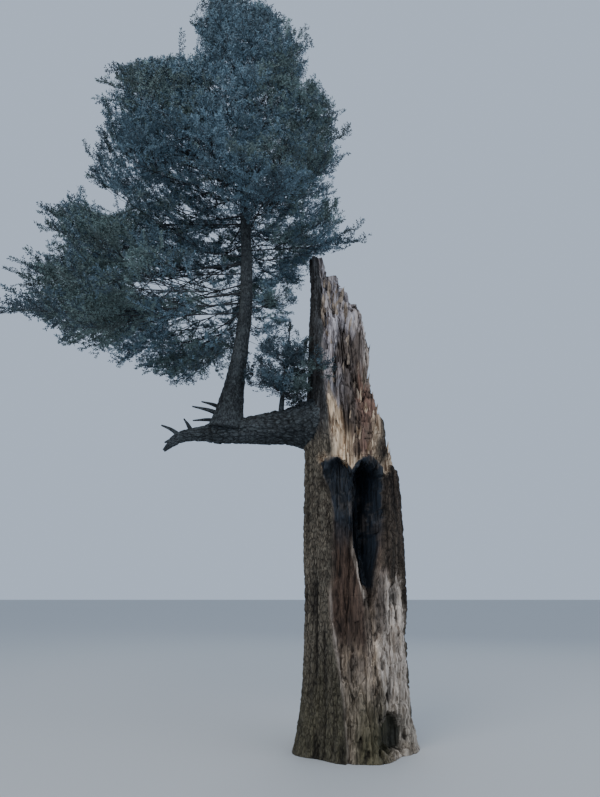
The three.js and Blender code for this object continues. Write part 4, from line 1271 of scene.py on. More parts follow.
# Boughs off the whorls: [height on the stem, bearing, reach, slope, upturn]
looseBoughs = [
    [5.24, 166, 2.78, 0.02, 0.04], [4.7, 200, 2.35, -0.26, 0.05], [4.6, 148, 1.7, -0.36, 0.05],
    [4.33, 190, 0.6, -0.8, 0.1], [4.64, -18, 0.56, -0.1, 0.1], [4.36, 14, 0.5, -0.3, 0.1],
]
youngBoughs = [
    [3.64, 186, 0.43, -0.1, 0.3], [3.7, -42, 0.64, 0.12, -0.1], [3.8, 62, 0.46, 0.1, 0.2],
    [3.56, 248, 0.4, -0.1, 0.3], [3.99, 160, 0.32, 0.3, 0.2], [4.01, -25, 0.33, 0.25, 0.2],
]


# The route of a bough: out from its foot at a slope, bent a little aside, its end turned up or down.
def boughLine(foot, bearing, reach, slope, upturn, seed):
    s = np.linspace(0, 1, crown["lineSteps"])
    bearings = bearing + crown["bend"] * (draw(seed, 1) - 0.5) * s
    return np.stack([
        foot[0] + reach * s * np.cos(bearings),
        foot[1] + reach * s * np.sin(bearings),
        foot[2] + reach * s * (slope + upturn * s * s),
    ], axis=-1)


# How far the crown reaches in a bearing: an oval round the leader, wider to the left.
def reachTowards(bearing, z):
    left, right = along(leftReach, z), along(rightReach, z)
    half, offset = (left + right) / 2, (left - right) / 2
    a = (math.cos(bearing) / half) ** 2 + (math.sin(bearing) / (half * crown["depthShare"])) ** 2
    b = 2 * math.cos(bearing) * offset / half**2
    return (-b + math.sqrt(b * b + 4 * a * (1 - (offset / half) ** 2))) / (2 * a)


def plannedBoughs():
    planned = []
    stems = {}
    for name in ("leader", "young_stem"):
        shares = np.linspace(0, 1, crown["stemSteps"])
        stems[name] = (shares, smoothRoute(limbs[name]["route"], shares)[0], np.array(limbs[name]["radii"]))

    def add(name, stem, z, degrees, reach, slope, upturn):
        shares, places, radii = stems[stem]
        t = np.interp(z, places[:, 2], shares)
        centre = np.array([np.interp(t, shares, places[:, k]) for k in range(3)])
        bearing = math.radians(degrees)
        out = np.interp(t, radii[:, 0], radii[:, 1]) * crown["footShare"]
        foot = centre + [out * math.cos(bearing), out * math.sin(bearing), 0]
        seed = len(planned) + 1
        planned.append({"name": name, "seed": seed, "reach": reach, "foot": foot, "bearing": bearing,
                        "slope": slope, "upturn": upturn,
                        "line": boughLine(foot, bearing, reach, slope, upturn, seed)})

    for w, count in enumerate(crown["boughsPerWhorl"]):
        for b in range(count):
            seed = w * 10 + b
            degrees = crown["whorlBearing"] + (b + 0.5 * (w % 2)) * 360 / count
            degrees += crown["degreeSpread"] * (draw(seed, 2) - 0.5)
            rise = crown["whorlSpread"] * ((b * crown["goldenShare"]) % 1)
            z = crown["whorlFoot"] + (w + rise) * crown["whorlGap"]
            if math.sin(math.radians(degrees)) < crown["openSide"] and z < crown["frontFoot"]:
                continue
            reach = reachTowards(math.radians(degrees), z)
            reach = reach * (1 + crown["reachSpread"] * (draw(seed, 4) - 0.5))
            slope = crown["slopeFoot"] + crown["slopeGain"] * (z - crown["whorlFoot"])
            slope += crown["slopeSpread"] * (draw(seed, 5) - 0.5)
            add(f"whorl_{w + 1}_bough_{b + 1}", "leader", z, degrees, reach, slope, crown["upturn"])
    for i, row in enumerate(looseBoughs):
        add(f"loose_bough_{i + 1}", "leader", *row)
    for i, row in enumerate(youngBoughs):
        add(f"young_bough_{i + 1}", "young_stem", *row)
    return planned


planned = plannedBoughs()
isYoungBough = np.array([bough["name"].startswith("young") for bough in planned])
print(len(planned), "boughs planned")

# Each planned bough is grown as itself and some lesser boughs that leave it along its way
forks = [  # [share of the way where it leaves, degrees aside, added slope, share of the reach]
    [0.00, 0, 0.00, 1.00], [0.16, 25, 0.20, 0.74], [0.22, -27, 0.13, 0.72], [0.34, 9, -0.27, 0.52],
    [0.26, -8, 0.34, 0.58], [0.48, 33, 0.08, 0.42], [0.52, -32, 0.20, 0.42], [0.60, 6, 0.24, 0.34],
]
youngForks = [
    [0.0, 0, 0.0, 1.0], [0.1, 34, 0.25, 0.75], [0.1, -34, 0.2, 0.75], [0.3, 5, 0.5, 0.6],
    [0.2, 12, -0.3, 0.7],
]
# Lesser boughs beside each one of a whorl, loose or of the young stem:
# [degrees aside, rise, share of reach, forks]
sisters = {
    "whorl": [[36, 0.235, 0.98, 5], [-15, 0.12, 1.0, 3]],
    "loose": [[24, 0.10, 0.97, 6], [-22, 0.05, 0.88, 6], [8, -0.13, 1.04, 4]],
    "young": [[62, -0.10, 0.95, 4], [-58, 0.12, 0.75, 4], [118, -0.15, 0.85, 3]],
}
# The crown's outline in the leader's plane, as the view shows it: [height, reach from the leader]
outline = {
    "left": np.array([
        [3.50, 0.00], [3.64, 0.45], [3.86, 1.25], [4.17, 2.15], [4.43, 2.50], [4.60, 2.95], [4.78, 3.20],
        [5.30, 3.20], [5.38, 2.60], [5.80, 2.46], [6.12, 2.58], [6.18, 2.12], [6.34, 1.86], [6.70, 2.10],
        [6.94, 1.98], [7.10, 1.78], [7.90, 1.88], [8.26, 1.82], [8.34, 1.50], [8.42, 0.86], [8.48, 0.52],
        [8.70, 0.62], [9.40, 0.50], [9.90, 0.24], [10.1, 0.10],
    ]),
    "right": np.array([
        [4.20, 0.40], [4.90, 0.68], [5.30, 0.90], [5.37, 1.20], [5.64, 1.54], [6.04, 1.46], [6.23, 1.12],
        [6.40, 0.98], [6.56, 1.14], [6.77, 1.48], [7.13, 1.55], [7.72, 1.42], [7.86, 1.06], [8.50, 0.98],
        [8.90, 1.06], [9.03, 0.90], [9.20, 0.68], [9.42, 0.40], [9.90, 0.24], [10.1, 0.10],
    ]),
    "ragged": 0.34, "rise": 0.30, "pitch": 3.0, "riseSeed": 310, "raggedSeed": 311,
    "youngTop": 4.50, "youngWidth": 0.95, "youngRagged": 0.5, "youngPitch": 3, "youngSeed": 312,
}
# The rounded clumps that the sprays stand in, with creases between them, in metres
clumps = {
    "size": [0.46, 0.46, 0.34], "seed": 327, "sway": (0.16, 3.0, 325), "shell": 0.11, "bite": 0.40,
    "lobe": 0.34, "overhang": 0.12, "crease": 0.07, "creaseLeast": 0.4, "creaseSpread": 1.2,
    "creasePitch": 2.0, "creaseSeed": 329,
}
# Upright twigs at the tips of the stems: [masses, stem, share of its way, length]
tops = [
    ["whorl", "leader", 0.955, 0.34], ["young", "young_stem", 0.66, 0.30],
    ["young", "young_stem", 0.80, 0.22], ["young", "young_stem", 0.90, 0.13],
]
# Places where the sky shows through, in the leader's plane:
# [x, z, half width, half height, share left out]
skyGaps = [
    [-2.05, 4.95, 0.50, 0.44, 0.61], [-1.62, 5.00, 0.32, 0.60, 0.58], [-1.95, 5.95, 0.20, 0.14, 0.7],
    [-1.85, 4.36, 0.42, 0.24, 0.56], [-0.95, 5.30, 0.25, 0.35, 0.52], [-2.97, 6.13, 0.26, 0.22, 0.75],
    [-2.38, 4.98, 0.24, 0.22, 0.90],
]
skyEdge = {"pitch": 7.0, "seed": 313, "rounding": 0.35}
limbTest = {"margin": 0.03, "shootMargin": 0.04, "marginShare": 0.5, "lowest": 0.01, "steps": 60}
outlineSteps = {"leader": 200, "young_stem": 50}
# How boughs grow. "spread" values are deviations of random draws, lengths are in metres.
growth = {
    "seed": 77, "steps": 33, "toneSpread": 0.45, "reachDraw": 40, "reachVary": 0.12, "longer": 1.12,
    "turnDraw": 50, "turnLeast": 0.7, "turnVary": 0.6, "forkUpturn": 0.14, "forkSeed": 0.37,
    "sisterSeed": 0.5, "sisterTurnSeed": 0.004, "boxMargin": (0.05, 0, 0), "roomLeast": 0.1,
    "wayLeast": 0.01, "reachLeast": 0.15, "forkGirth": 0.62,
}
# How twigs stand along a bough. "angles" and "shares" are [share of the way, degrees or share].
spray = {
    "twigGap": 0.108, "twigLeast": 5, "from": 0.03, "youngGap": 0.05, "endwards": 0.86, "jitter": (0.2, 0.8),
    "full": (4.7, 5.1), "fullGap": (0.6, 0.4), "tiltMost": 1.1, "degreeSpread": 9,
    "angles": [[0.1, 39], [0.44, 54], [1.0, 34]],
    "shares": [[0.03, 0.30], [0.28, 0.40], [0.50, 0.39], [0.76, 0.34], [0.92, 0.25], [1.0, 0.18]],
    "hang": -0.45, "hangHeight": (4.3, 4.9), "lift": 0.30, "liftHeight": (5.6, 8.5), "tilt": 0.12,
    "youngTilt": 0.2, "tiltSpread": 0.45, "twist": 0.45, "longest": 0.66, "vary": (0.75, 1.12),
    # Painted light: the tone of a twig grows lighter with how high it rises
    "shortest": 0.10, "tone": 1.5, "risePaintedLight": 2.2, "riseLeast": 0.3, "toneSpread": 0.55, "endTone": 0.7,
    "topTone": 2.0,
    "overBox": [0.12, 0.06, 0.02], "overLeast": 0.2, "wayLeast": 1e-3, "clearAt": (0.95, 0.5),
    "trimmed": 0.6, "keptLeast": 0.05, "leastShown": 3, "steepestFall": -0.72,
}
# How shoots stand along a twig
shoot = {
    "gap": 0.0345, "fewest": 2, "from": 0.10, "to": 0.98, "degrees": 52, "tilt": 0.2, "tiltSpread": 0.30,
    "tiltShare": 0.8, "twist": 0.35, "rise": 0.34, "least": 0.05, "share": 0.26, "most": 0.13,
    "vary": (0.6, 1.1), "tipMargin": 0.02, "clumpAt": 0.7, "shown": 0.07,
}
# Thin tubes: steps along, sides, girth and its gain per metre, taper, and the bow as a share of length
tubes = {
    "stem": {"steps": 8, "sides": 5, "girth": 0.003, "gain": 0.0042, "taper": 0.84, "past": 0.03},
    "twig": {"steps": 3, "sides": 3, "girth": 0.002, "gain": 0.0055, "taper": 0.8, "bow": 0.06},
    "shoot": {"girth": 0.0016, "gain": 0.006, "bow": 0.06},
}
needle = {
    "gap": 0.0078, "length": 0.030, "width": 0.0140, "forward": 0.6, "lift": 0.28, "fewest": 6, "level": 1.1,
    "twigBare": 0.30, "shootBare": 0.04, "golden": 137.5, "turns": 6.3, "rise": 0.75, "tipForward": 0.9,
    "tip": (0.8, 1.0), "vary": (0.75, 1.2), "shoulder": 0.42, "pieceLimit": 92000,
}
# Tones from dark to light, first of blue needles and then of olive ones; they serve both as the needles' own
# tones and as painted light and painted shade
toneRule = {
    "blue": (0.040, 0.0615, 0.0765), "olive": (0.042, 0.060, 0.059), "step": 1.28, "steps": 7,
    # Painted light: "shade" makes sprays lighter where less light comes, and "top" and "under" paint light
    # and shade on the clumps' upper and lower sides
    "oliveFrom": 0.545, "oliveScale": (2.2, 2.2, 2.8), "oliveSeed": 323, "open": -0.75, "shade": 7.8,
    "patch": 1.4, "patchScale": (1.5, 1.5, 1.9), "patchSeed": 317, "clump": 2.2, "top": 0.9, "under": -1.3,
    "sage": 0.8, "sageMiddle": (-1.75, 7.1), "sageHalf": (0.42, 1.1), "own": 0.2, "ownMiddle": 2,
    "spread": 0.25, "young": -3.4,
}
toneColours = [
    tuple(part * toneRule["step"] ** step for part in toneRule[family]) + (1,)
    for family in ("blue", "olive") for step in range(toneRule["steps"])
]
openRule = {
    "cube": 0.2, "thick": 0.05, "buried": 0.009,
    "ways": [(2, True, 2), (1, False, 2), (0, True, 1), (0, False, 1), (1, True, 1), (2, False, 1)],
}
twigColour = (0.048, 0.052, 0.058, 1)
needleRoughness, twigRoughness = 0.72, 0.9


def plainMaterial(name, colour, roughness):
    material, nodes, shader = blankMaterial(name, roughness)
    shader.inputs["Base Color"].default_value = colour
    return material


needleTones = [
    plainMaterial(f"needleTone{k + 1}", colour, needleRoughness) for k, colour in enumerate(toneColours)
]
twigSurface = plainMaterial("twigBark", twigColour, twigRoughness)


# A heading tilted out of its plane by an angle, and its own up, twisted round it.
def tiltedOut(out, up, tilt, share, twist):
    tilt = np.clip(tilt, -spray["tiltMost"], spray["tiltMost"])
    out = unit(out + up * np.tan(tilt)[:, None] * share)
    ownUp = unit(up - out * np.sum(up * out, axis=1, keepdims=True))
    return out, turned(ownUp, out, twist)


# Shoots along twigs: by turns to the left and the right, at an angle in the plane square to the
# twig's up, tilted out of that plane.
def shootsAlong(twigs, rng):
    count = np.maximum(np.round(twigs["length"] / shoot["gap"]).astype(int), shoot["fewest"])
    parent = np.repeat(np.arange(len(count)), count)
    root, heading, up, length = (twigs[key][parent] for key in ("root", "out", "up", "length"))
    k = np.arange(count.sum()) - np.repeat(np.cumsum(count) - count, count)
    jitter = rng.uniform(*spray["jitter"], len(k))
    s = shoot["from"] + (shoot["to"] - shoot["from"]) * (k + jitter) / count[parent]
    side = np.where((k + parent) % 2 == 0, 1.0, -1.0)
    angle = side * np.radians(shoot["degrees"] + rng.normal(0, spray["degreeSpread"], len(k)))
    tilt = shoot["tilt"] + rng.normal(0, shoot["tiltSpread"], len(k))
    twist = rng.normal(0, shoot["twist"], len(k))
    out, ownUp = tiltedOut(turned(heading, up, angle), up, tilt, shoot["tiltShare"], twist)
    start = root + heading * (length * s)[:, None]
    out = unit(out + np.array([0, 0, shoot["rise"]]))
    long = shoot["least"] + shoot["share"] * length * (1 - s) * rng.uniform(*shoot["vary"], len(s))
    return parent, start, out, ownUp, np.minimum(long, shoot["most"])


# True where a place lies in the trunk, the leader or the bough, with a margin.
def isInLimbs(points, margin=limbTest["margin"]):
    z, last = points[:, 2], trunk["lastRing"]
    mx, my = sectionMiddle(np.clip(z, 0, last))
    bearing = np.arctan2(points[:, 1] - my, points[:, 0] - mx)
    away = np.hypot(points[:, 0] - mx, points[:, 1] - my)
    reach = trunkReach(bearing, np.clip(z, limbTest["lowest"], last))
    blocked = (z < trunk["tip"][2]) & (away < reach + margin)
    for look in limbs.values():
        shares = np.linspace(0, 1, limbTest["steps"])
        places = smoothRoute(look["route"], shares)[0]
        radii = np.interp(shares, *np.array(look["radii"]).T)
        for place, radius in zip(places, radii):
            limit = (radius + limbTest["marginShare"] * margin) ** 2
            blocked |= np.sum((points - place) ** 2, axis=1) < limit
    return blocked


# Where the line of sight to a place passes through the leader's plane.
def seenPlace(points):
    eye = np.array(view["place"])
    return eye + (points - eye) * (eye[1] / (eye[1] - points[:, 1]))[:, None]


def stemLine(name):
    return smoothRoute(limbs[name]["route"], np.linspace(0, 1, outlineSteps[name]))[0]


# How far a place is seen inside the crown's outline, in the leader's plane.
def roomInOutline(points):
    seen, stem = seenPlace(points), stemLine("leader")
    away = seen[:, 0] - np.interp(seen[:, 2], stem[:, 2], stem[:, 0])
    place = points * outline["pitch"]
    rise, ragged = (layeredNoise(place, outline[key]) for key in ("riseSeed", "raggedSeed"))
    z = seen[:, 2] + outline["rise"] * (rise - 0.5)
    room = np.minimum(away + along(outline["left"], z), along(outline["right"], z) - away)
    return room + outline["ragged"] * (ragged - 0.5)


# How far a place is inside the cone of the young tree.
def roomInCone(points):
    stem = stemLine("young_stem")
    middle = np.stack([np.interp(points[:, 2], stem[:, 2], stem[:, k]) for k in range(2)], axis=1)
    away = np.linalg.norm(points[:, :2] - middle, axis=1)
    room = (outline["youngTop"] - points[:, 2]) * outline["youngWidth"] - away
    ragged = layeredNoise(points * outline["youngPitch"] * outline["pitch"], outline["youngSeed"])
    return room + outline["youngRagged"] * outline["ragged"] * (ragged - 0.5)


# True where a place is seen within its outline, less what the creases between the clumps bite out
# of its edge, and not where the sky shows through. A young place has to be in its cone.
def isInOutline(points, isYoung):
    seen = seenPlace(points)
    lobe = 1 - ease(0, clumps["lobe"], clumpAt(points)[0])
    kept = roomInOutline(points) > clumps["bite"] * lobe - clumps["overhang"]
    noise = layeredNoise(points * skyEdge["pitch"], skyEdge["seed"])
    for x, z, halfWidth, halfHeight, share in skyGaps:
        off = np.hypot((seen[:, 0] - x) / halfWidth, (seen[:, 2] - z) / halfHeight)
        kept &= (off > 1) | (noise > share * (1 - skyEdge["rounding"] * off * off))
    return np.where(isYoung, roomInCone(points) > 0, kept)


# The clump that a place is in: the width of the crease beside the place and the clump's number,
# from 0 to 1.
def clumpAt(points):
    return cells((points + swayed(points, clumps["sway"])) / clumps["size"], clumps["seed"])


# True outside the creases between the clumps.
def isInClump(points):
    noise = layeredNoise(points * clumps["creasePitch"], clumps["creaseSeed"])
    return clumpAt(points)[0] > clumps["crease"] * (clumps["creaseLeast"] + clumps["creaseSpread"] * noise)


# A clump's own tone, with painted light on its upper side and painted shade on its lower one.
def clumpToneAndLight(points):
    shell = np.array([0, 0, clumps["shell"]])
    own, above, below = (clumpAt(points + shell * step)[1] for step in (0, 1, -1))
    isTop, isUnder = (np.abs(other - own) > tiniest for other in (above, below))
    return toneRule["clump"] * (own - 0.5) + toneRule["top"] * isTop + toneRule["under"] * (isUnder & ~isTop)


# The planned boughs, and beside those of the whorls their sisters, which stand for the same nodes.
def grownBoughs():
    grown = []
    stem = smoothRoute(limbs["leader"]["route"], np.linspace(0, 1, crown["stemSteps"]))[0]
    for index, bough in enumerate(planned):
        kind = bough["name"].split("_")[0]
        rule = youngForks if kind == "young" else forks
        grown.append((index, bough, rule))
        for turn, rise, share, count in sisters.get(kind, []):
            z = bough["foot"][2] + rise
            bearing = bough["bearing"] + math.radians(turn)
            isOpen = math.sin(bearing) < crown["openSide"] and z < crown["frontFoot"]
            if kind == "whorl" and (z > leftReach[-1, 0] or isOpen):
                continue
            foot, reach, slope = bough["foot"] + [0, 0, rise], bough["reach"] * share, bough["slope"]
            if kind == "whorl":
                foot = np.array([np.interp(z, stem[:, 2], stem[:, k]) for k in range(3)])
                reach = reachTowards(bearing, z) * share
                slope = crown["slopeFoot"] + crown["slopeGain"] * (z - crown["whorlFoot"])
            seed = bough["seed"] + growth["sisterSeed"] + growth["sisterTurnSeed"] * turn
            line = boughLine(foot, bearing, reach, slope, bough["upturn"], seed)
            other = {**bough, "foot": foot, "bearing": bearing, "reach": reach, "slope": slope, "line": line}
            grown.append((index, {**other, "seed": seed}, rule[:count]))
    return grown


# A bough's line and reach, cut where it leaves the solids' box or the outline.
def cutAtEdge(line, reach, isYoung):
    low, high = np.array(solidBox)
    shares = np.linspace(0, 1, growth["steps"])
    places = smoothRoute(line, shares)[0]
    room = roomInCone(places) if isYoung else roomInOutline(places)
    past = np.any((places < low - growth["boxMargin"]) | (places > high), axis=1)
    past |= (room < growth["roomLeast"]) & (room[0] >= growth["roomLeast"])
    if not past.any():
        return line, reach
    end = shares[np.argmax(past)]
    kept = np.linspace(0, max(end, growth["wayLeast"]), crown["lineSteps"])
    return smoothRoute(line, kept)[0], reach * end


# Fork c of a bough: its line and its reach.
def forkLine(bough, c, leaves, aside, lift, share):
    seed = bough["seed"]
    drawn = draw(seed, growth["reachDraw"] + c) - 0.5
    reach = bough["reach"] * share * (1 + growth["reachVary"] * drawn * (c > 0))
    if bough["name"].startswith("whorl"):
        reach = reach * growth["longer"]
    vary = growth["turnLeast"] + growth["turnVary"] * draw(seed, growth["turnDraw"] + c)
    start = smoothRoute(bough["line"], [leaves])[0][0]
    upturn = bough["upturn"] + growth["forkUpturn"] * (c > 0)
    bearing, slope = bough["bearing"] + math.radians(aside) * vary, bough["slope"] + lift * vary
    line = boughLine(start, bearing, reach, slope, upturn, seed + growth["forkSeed"] * c)
    return cutAtEdge(line, reach, bough["name"].startswith("young"))


# The twigs along a bough's line: root, heading, up, length, tone, which holds painted light on rising twigs,
# and share of the way.
def twigsAlong(line, reach, bough, lift, boughTone, rng):
    kind, height = bough["name"].split("_")[0], bough["foot"][2]
    fullness = 0.5 + 0.5 * float(ease(*spray["full"], height)) if kind == "whorl" else 1.0
    least, gain = spray["fullGap"]
    gap = spray["youngGap"] if kind == "young" else spray["twigGap"] / (least + gain * fullness)
    count = int(spray["twigLeast"] + reach / gap)
    samples = np.linspace(0, 1, growth["steps"])
    places, headings = smoothRoute(line, samples)
    k = np.arange(count)
    s = spray["from"] + (1.0 - spray["from"]) * (k + rng.uniform(*spray["jitter"], count)) / count
    s = s ** spray["endwards"]
    root, tangent = (
        np.stack([np.interp(s, samples, way[:, a]) for a in range(3)], axis=1) for way in (places, headings)
    )
    tangent = unit(tangent)
    side = np.where((k + int(bough["seed"])) % 2 == 0, 1.0, -1.0)
    degrees = np.interp(s, *np.array(spray["angles"]).T) + rng.normal(0, spray["degreeSpread"], count)
    up = unit(np.array([0.0, 0.0, 1.0]) - tangent * tangent[:, 2:])
    hang = spray["hang"] * (1 - ease(*spray["hangHeight"], height))
    hang = hang + spray["lift"] * ease(*spray["liftHeight"], height) + spray["tilt"]
    tilt = rng.normal(spray["youngTilt"] if kind == "young" else hang, spray["tiltSpread"], count)
    twist = rng.normal(0, spray["twist"], count)
    out, ownUp = tiltedOut(turned(tangent, up, side * np.radians(degrees)), up, tilt, 1.0, twist)
    length = np.minimum(np.interp(s, *np.array(spray["shares"]).T) * reach, spray["longest"])
    length = np.maximum(length * rng.uniform(*spray["vary"], count), spray["shortest"])
    rise = out[:, 2] * length + lift * reach * 0.5
    # Painted light: twigs that rise higher get lighter tones
    tone = spray["tone"] + boughTone + spray["risePaintedLight"] * rise / (spray["riseLeast"] + bough["reach"])
    tone = tone + rng.normal(0, spray["toneSpread"], count) + spray["endTone"] * s
    return root, out, ownUp, length, tone, s


# The upright twigs at the tips of the stems, on the last bough of their masses and on no line.
def topTwigs():
    rows = []
    for kind, start, share, length in tops:
        last = max(k for k, bough in enumerate(planned) if bough["name"].startswith(kind))
        root = smoothRoute(limbs[start]["route"], [share])[0]
        ways = np.array([[0.0, 0.0, 1.0]]), np.array([[1.0, 0, 0]])
        rows.append((np.full(1, last), np.full(1, -1), root, *ways, np.full(1, length),
                     np.full(1, spray["topTone"]), np.zeros(1)))
    return rows


# The lines of all boughs, and the twigs along them as named arrays.
def growCrown(rng):
    stems, rows = [], []
    for index, bough, forkRule in grownBoughs():
        boughTone = rng.normal(0, growth["toneSpread"])
        for c, (leaves, aside, lift, share) in enumerate(forkRule):
            line, reach = forkLine(bough, c, leaves, aside, lift, share)
            if reach < growth["reachLeast"]:
                continue
            isMain = c == 0 and float(bough["seed"]).is_integer()
            twigs = twigsAlong(line, reach, bough, lift, boughTone, rng)
            count = len(twigs[0])
            rows.append((np.full(count, index), np.full(count, len(stems)), *twigs))
            stems.append((reach * (1.0 if isMain else growth["forkGirth"]), line))
    names = ("bough", "stem", "root", "out", "up", "length", "tone", "share")
    return stems, {name: np.concatenate(column) for name, column in zip(names, zip(*rows, *topTwigs()))}


# The twigs cut to the solids' box and the outline, less those that run into a limb or fall steeply.
def trimTwigs(twigs, rng):
    low, high = np.array(solidBox)
    root, out, length, isYoung = twigs["root"], twigs["out"], twigs["length"], isYoungBough[twigs["bough"]]
    steep = np.abs(out)
    wayOut = np.where(out >= 0, high - root, root - low) / np.maximum(steep, spray["wayLeast"])
    over = np.array(spray["overBox"]) * rng.uniform(0, 1, (len(length), 1))
    over = over / np.maximum(steep, spray["overLeast"])
    length = np.minimum(length, (wayOut + over).min(axis=1))
    keep = out[:, 2] > spray["steepestFall"]
    for share in spray["clearAt"]:
        keep &= ~isInLimbs(root + out * (length * share)[:, None])
    fits = isInOutline(root + out * length[:, None], isYoung)
    length = np.where(fits, length, length * spray["trimmed"])
    keep &= (length > spray["keptLeast"]) & isInOutline(root + out * length[:, None], isYoung)
    keep[-len(tops):] = True
    return {name: column[keep] for name, column in {**twigs, "length": length}.items()}


# Needles round shoots. Needle j stands at share u = (j + 0.5) / n of its shoot, turned by the golden
# angle from the one before, leans forward, and is a kite: a point at its foot and one at its tip.
def needleKites(shoots, rng):
    low, length = shoots["bare"], shoots["length"]
    count = np.maximum(np.round(length * (1 - low) / needle["gap"]).astype(int), needle["fewest"])
    own = np.repeat(np.arange(len(length)), count)
    j = np.arange(count.sum()) - np.repeat(np.cumsum(count) - count, count)
    u = low[own] + (1 - low[own]) * (j + 0.5) / count[own]
    axis, over = shoots["out"][own], shoots["up"][own]
    side = np.cross(over, axis)
    turn = j * math.radians(needle["golden"]) + rng.uniform(0, needle["turns"], len(length))[own]
    rise = needle["lift"] + needle["rise"] * np.sin(turn)
    forward = needle["forward"] + needle["tipForward"] * ease(*needle["tip"], u)
    direction = unit(axis * forward[:, None] + side * np.cos(turn)[:, None] + over * rise[:, None])
    root = shoots["root"][own] + axis * (length[own] * u)[:, None]
    root = root + over * (tubes["twig"]["bow"] * length[own] * u * u)[:, None]
    size = needle["length"] * rng.uniform(*needle["vary"], len(u))
    across = unit(np.cross(direction, rng.normal(0, 1, (len(u), 3)) + over * needle["level"]))
    half = across * (needle["width"] / 2)
    shoulder = root + direction * (size * needle["shoulder"])[:, None]
    return own, np.stack([root, shoulder + half, root + direction * size[:, None], shoulder - half], axis=1)


# How open each place is to the light, from 0 to 1: the mean, over up and the four sides, of
# exp(-thick x number of sprays that way), counted in a grid of cubes.
def openness(places):
    size, thick = openRule["cube"], openRule["thick"]
    low = places.min(axis=0)
    cube = ((places - low) / size).astype(int)
    counts = np.zeros(cube.max(axis=0) + 1)
    np.add.at(counts, tuple(cube.T), 1.0)
    total = np.zeros(len(places))
    for axis, isForward, weight in openRule["ways"]:
        facing = np.flip(counts, axis) if isForward else counts
        before = np.cumsum(facing, axis) - 0.5 * facing
        before = np.flip(before, axis) if isForward else before
        total += weight * np.exp(-thick * before[tuple(cube.T)])
    return total / sum(way[2] for way in openRule["ways"])


# The tone of each spray: painted light that makes it lighter where less light comes, painted light
# and shade on its clump's upper and lower sides, in soft patches, in the middle of the side to the
# view, and a little by its own twig's tone, which holds painted light where the twig rises.
def sprayTone(places, own, light, isYoung, rng):
    rule, seen = toneRule, seenPlace(places)
    patch = layeredNoise(places * rule["patchScale"], rule["patchSeed"]) - 0.5
    off = (seen[:, [0, 2]] - rule["sageMiddle"]) / rule["sageHalf"]
    sage = np.exp(-np.sum(off**2, axis=1)) * (places[:, 1] < 0)
    # Painted light: lighter tones where less light comes, then painted light and shade by clump
    tone = rule["open"] + rule["shade"] * (1 - light) ** 2 + rule["patch"] * patch
    tone = tone + rule["young"] * isYoung + clumpToneAndLight(places)
    tone = tone + rule["sage"] * sage + rule["own"] * (own - rule["ownMiddle"])
    tone = tone + rng.normal(0, rule["spread"], len(tone))
    isOlive = layeredNoise(places * rule["oliveScale"], rule["oliveSeed"]) > rule["oliveFrom"]
    return np.clip(np.floor(tone + 0.5), 0, rule["steps"] - 1).astype(int) + rule["steps"] * isOlive


# True where places, [place, axis], are in the solids' box or at most a little past it.
def isNearBox(places):
    low, high = np.array(solidBox)
    over = np.array(spray["overBox"])
    return np.all((places > low - over) & (places < high + over), axis=1)


# The twigs and their shoots together, as named arrays, less what isn't shown; and which twigs are.
def growShoots(twigs, rng):
    parent, root, out, up, length = shootsAlong(twigs, rng)
    twigCount = len(twigs["root"])
    shoots = {
        "root": np.vstack([twigs["root"], root]), "out": np.vstack([twigs["out"], out]),
        "up": np.vstack([twigs["up"], up]), "length": np.concatenate([twigs["length"], length]),
        "bare": np.repeat([needle["twigBare"], needle["shootBare"]], [twigCount, len(root)]),
        "twig": np.concatenate([np.arange(twigCount), parent]),
    }
    shoots["isShoot"] = np.arange(len(shoots["root"])) >= twigCount
    isYoungTwig = isYoungBough[twigs["bough"]]
    shoots["isYoung"] = isYoungTwig[shoots["twig"]]
    foot, way, length = shoots["root"], shoots["out"], shoots["length"]
    tips = foot + way * length[:, None]
    keep = ~isInLimbs(tips, limbTest["shootMargin"])
    keep &= isNearBox(foot + way * (length + shoot["tipMargin"])[:, None])
    keep &= isInClump(foot + way * (shoot["clumpAt"] * length)[:, None])
    keep &= isInOutline(tips, shoots["isYoung"])
    keep |= ~shoots["isShoot"]
    shown = np.bincount(shoots["twig"][keep & shoots["isShoot"]], minlength=twigCount) >= spray["leastShown"]
    shown |= isYoungTwig
    shown[-len(tops):] = True
    shoots["light"] = openness(foot)
    keep &= shown[shoots["twig"]] & (shoots["light"] > openRule["buried"])
    return {name: column[keep] for name, column in shoots.items()}, shown


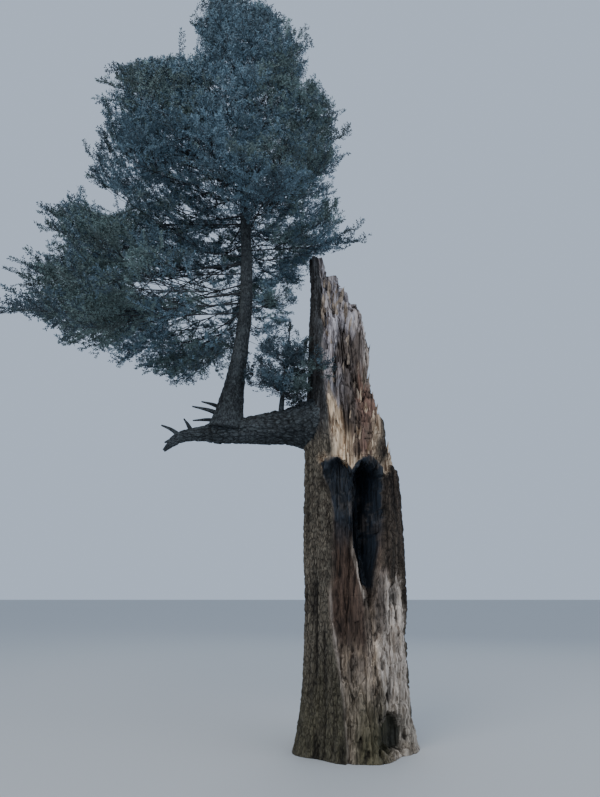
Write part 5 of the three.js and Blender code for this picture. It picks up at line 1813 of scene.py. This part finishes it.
# The needles in pieces, each one the needles of whole boughs up to the limit of kites.
def addNeedles(twigs, shoots, rng):
    shootOf, kites = needleKites(shoots, rng)
    isInside = isNearBox(kites[:, 2])
    shootOf, kites = shootOf[isInside], kites[isInside]
    print(shoots["isShoot"].sum(), "shoots", len(kites), "needles")
    tone = sprayTone(shoots["root"], twigs["tone"][shoots["twig"]], shoots["light"], shoots["isYoung"], rng)
    boughOf = twigs["bough"][shoots["twig"][shootOf]]
    order = np.argsort(boughOf, kind="stable")
    boughSorted = boughOf[order]
    begin, part = 0, 0
    while begin < len(order):
        part += 1
        end = min(begin + needle["pieceLimit"], len(order))
        if end < len(order):
            end = np.searchsorted(boughSorted, boughSorted[end])
        chosen = order[begin:end]
        nodes = [planned[b]["name"] for b in np.unique(boughSorted[begin:end])]
        corner = np.arange(len(chosen) * 4).reshape(-1, 4)
        addPiece(f"needles_{part}", kites[chosen].reshape(-1, 3), corner, np.zeros((0, 3)), needleTones,
                 "needles", nodes, dealt=tone[shootOf[chosen]], smooth=False)
        begin = end


# Tubes for the boughs, each as far as its last shown twig, and for the shown twigs.
def boughMeshes(stems, twigs, shown):
    look, paths, radii = tubes["stem"], [], []
    lastTwig = np.zeros(len(stems) + 1)
    np.maximum.at(lastTwig, twigs["stem"][shown], twigs["share"][shown])
    for last, (reach, line) in zip(lastTwig, stems):
        if last > 0:
            shares = np.linspace(0, min(last + look["past"], 1), look["steps"])
            paths.append(smoothRoute(line, shares)[0])
            radii.append((look["girth"] + look["gain"] * reach) * (1 - look["taper"] * shares / shares[-1]))
    stemMesh = thinTubes(np.array(paths), np.array(radii), look["sides"])
    look = tubes["twig"]
    steps = np.linspace(0, 1, look["steps"])
    root, out, up, length = (twigs[key][shown] for key in ("root", "out", "up", "length"))
    ways = root[:, None] + out[:, None] * (length[:, None] * steps)[..., None]
    ways = ways + up[:, None] * (look["bow"] * length[:, None] * steps**2)[..., None]
    girths = (look["girth"] + look["gain"] * length)[:, None] * (1 - look["taper"] * steps)
    return [stemMesh, thinTubes(ways, girths, look["sides"])]


def buildCrown():
    rng = np.random.default_rng(growth["seed"])
    stems, twigs = growCrown(rng)
    twigs = trimTwigs(twigs, rng)
    print(len(stems), "stems", len(twigs["root"]), "twigs")
    shoots, shown = growShoots(twigs, rng)
    addNeedles(twigs, shoots, rng)
    nodes = [bough["name"] for bough in planned]
    meshes = boughMeshes(stems, twigs, shown)
    addPiece("crown_boughs", *joined(meshes), [twigSurface], "limb_bark", nodes)
    isLong, look = shoots["isShoot"] & (shoots["length"] > shoot["shown"]), tubes["shoot"]
    foot, axis, up, size = (shoots[key][isLong] for key in ("root", "out", "up", "length"))
    ends = foot + axis * size[:, None] + up * (look["bow"] * size)[:, None]
    girth = look["girth"] + look["gain"] * size
    addPiece("crown_shoots", *spikes(foot, ends, girth), [twigSurface], "limb_bark", nodes)


buildCrown()
print("crown ready")
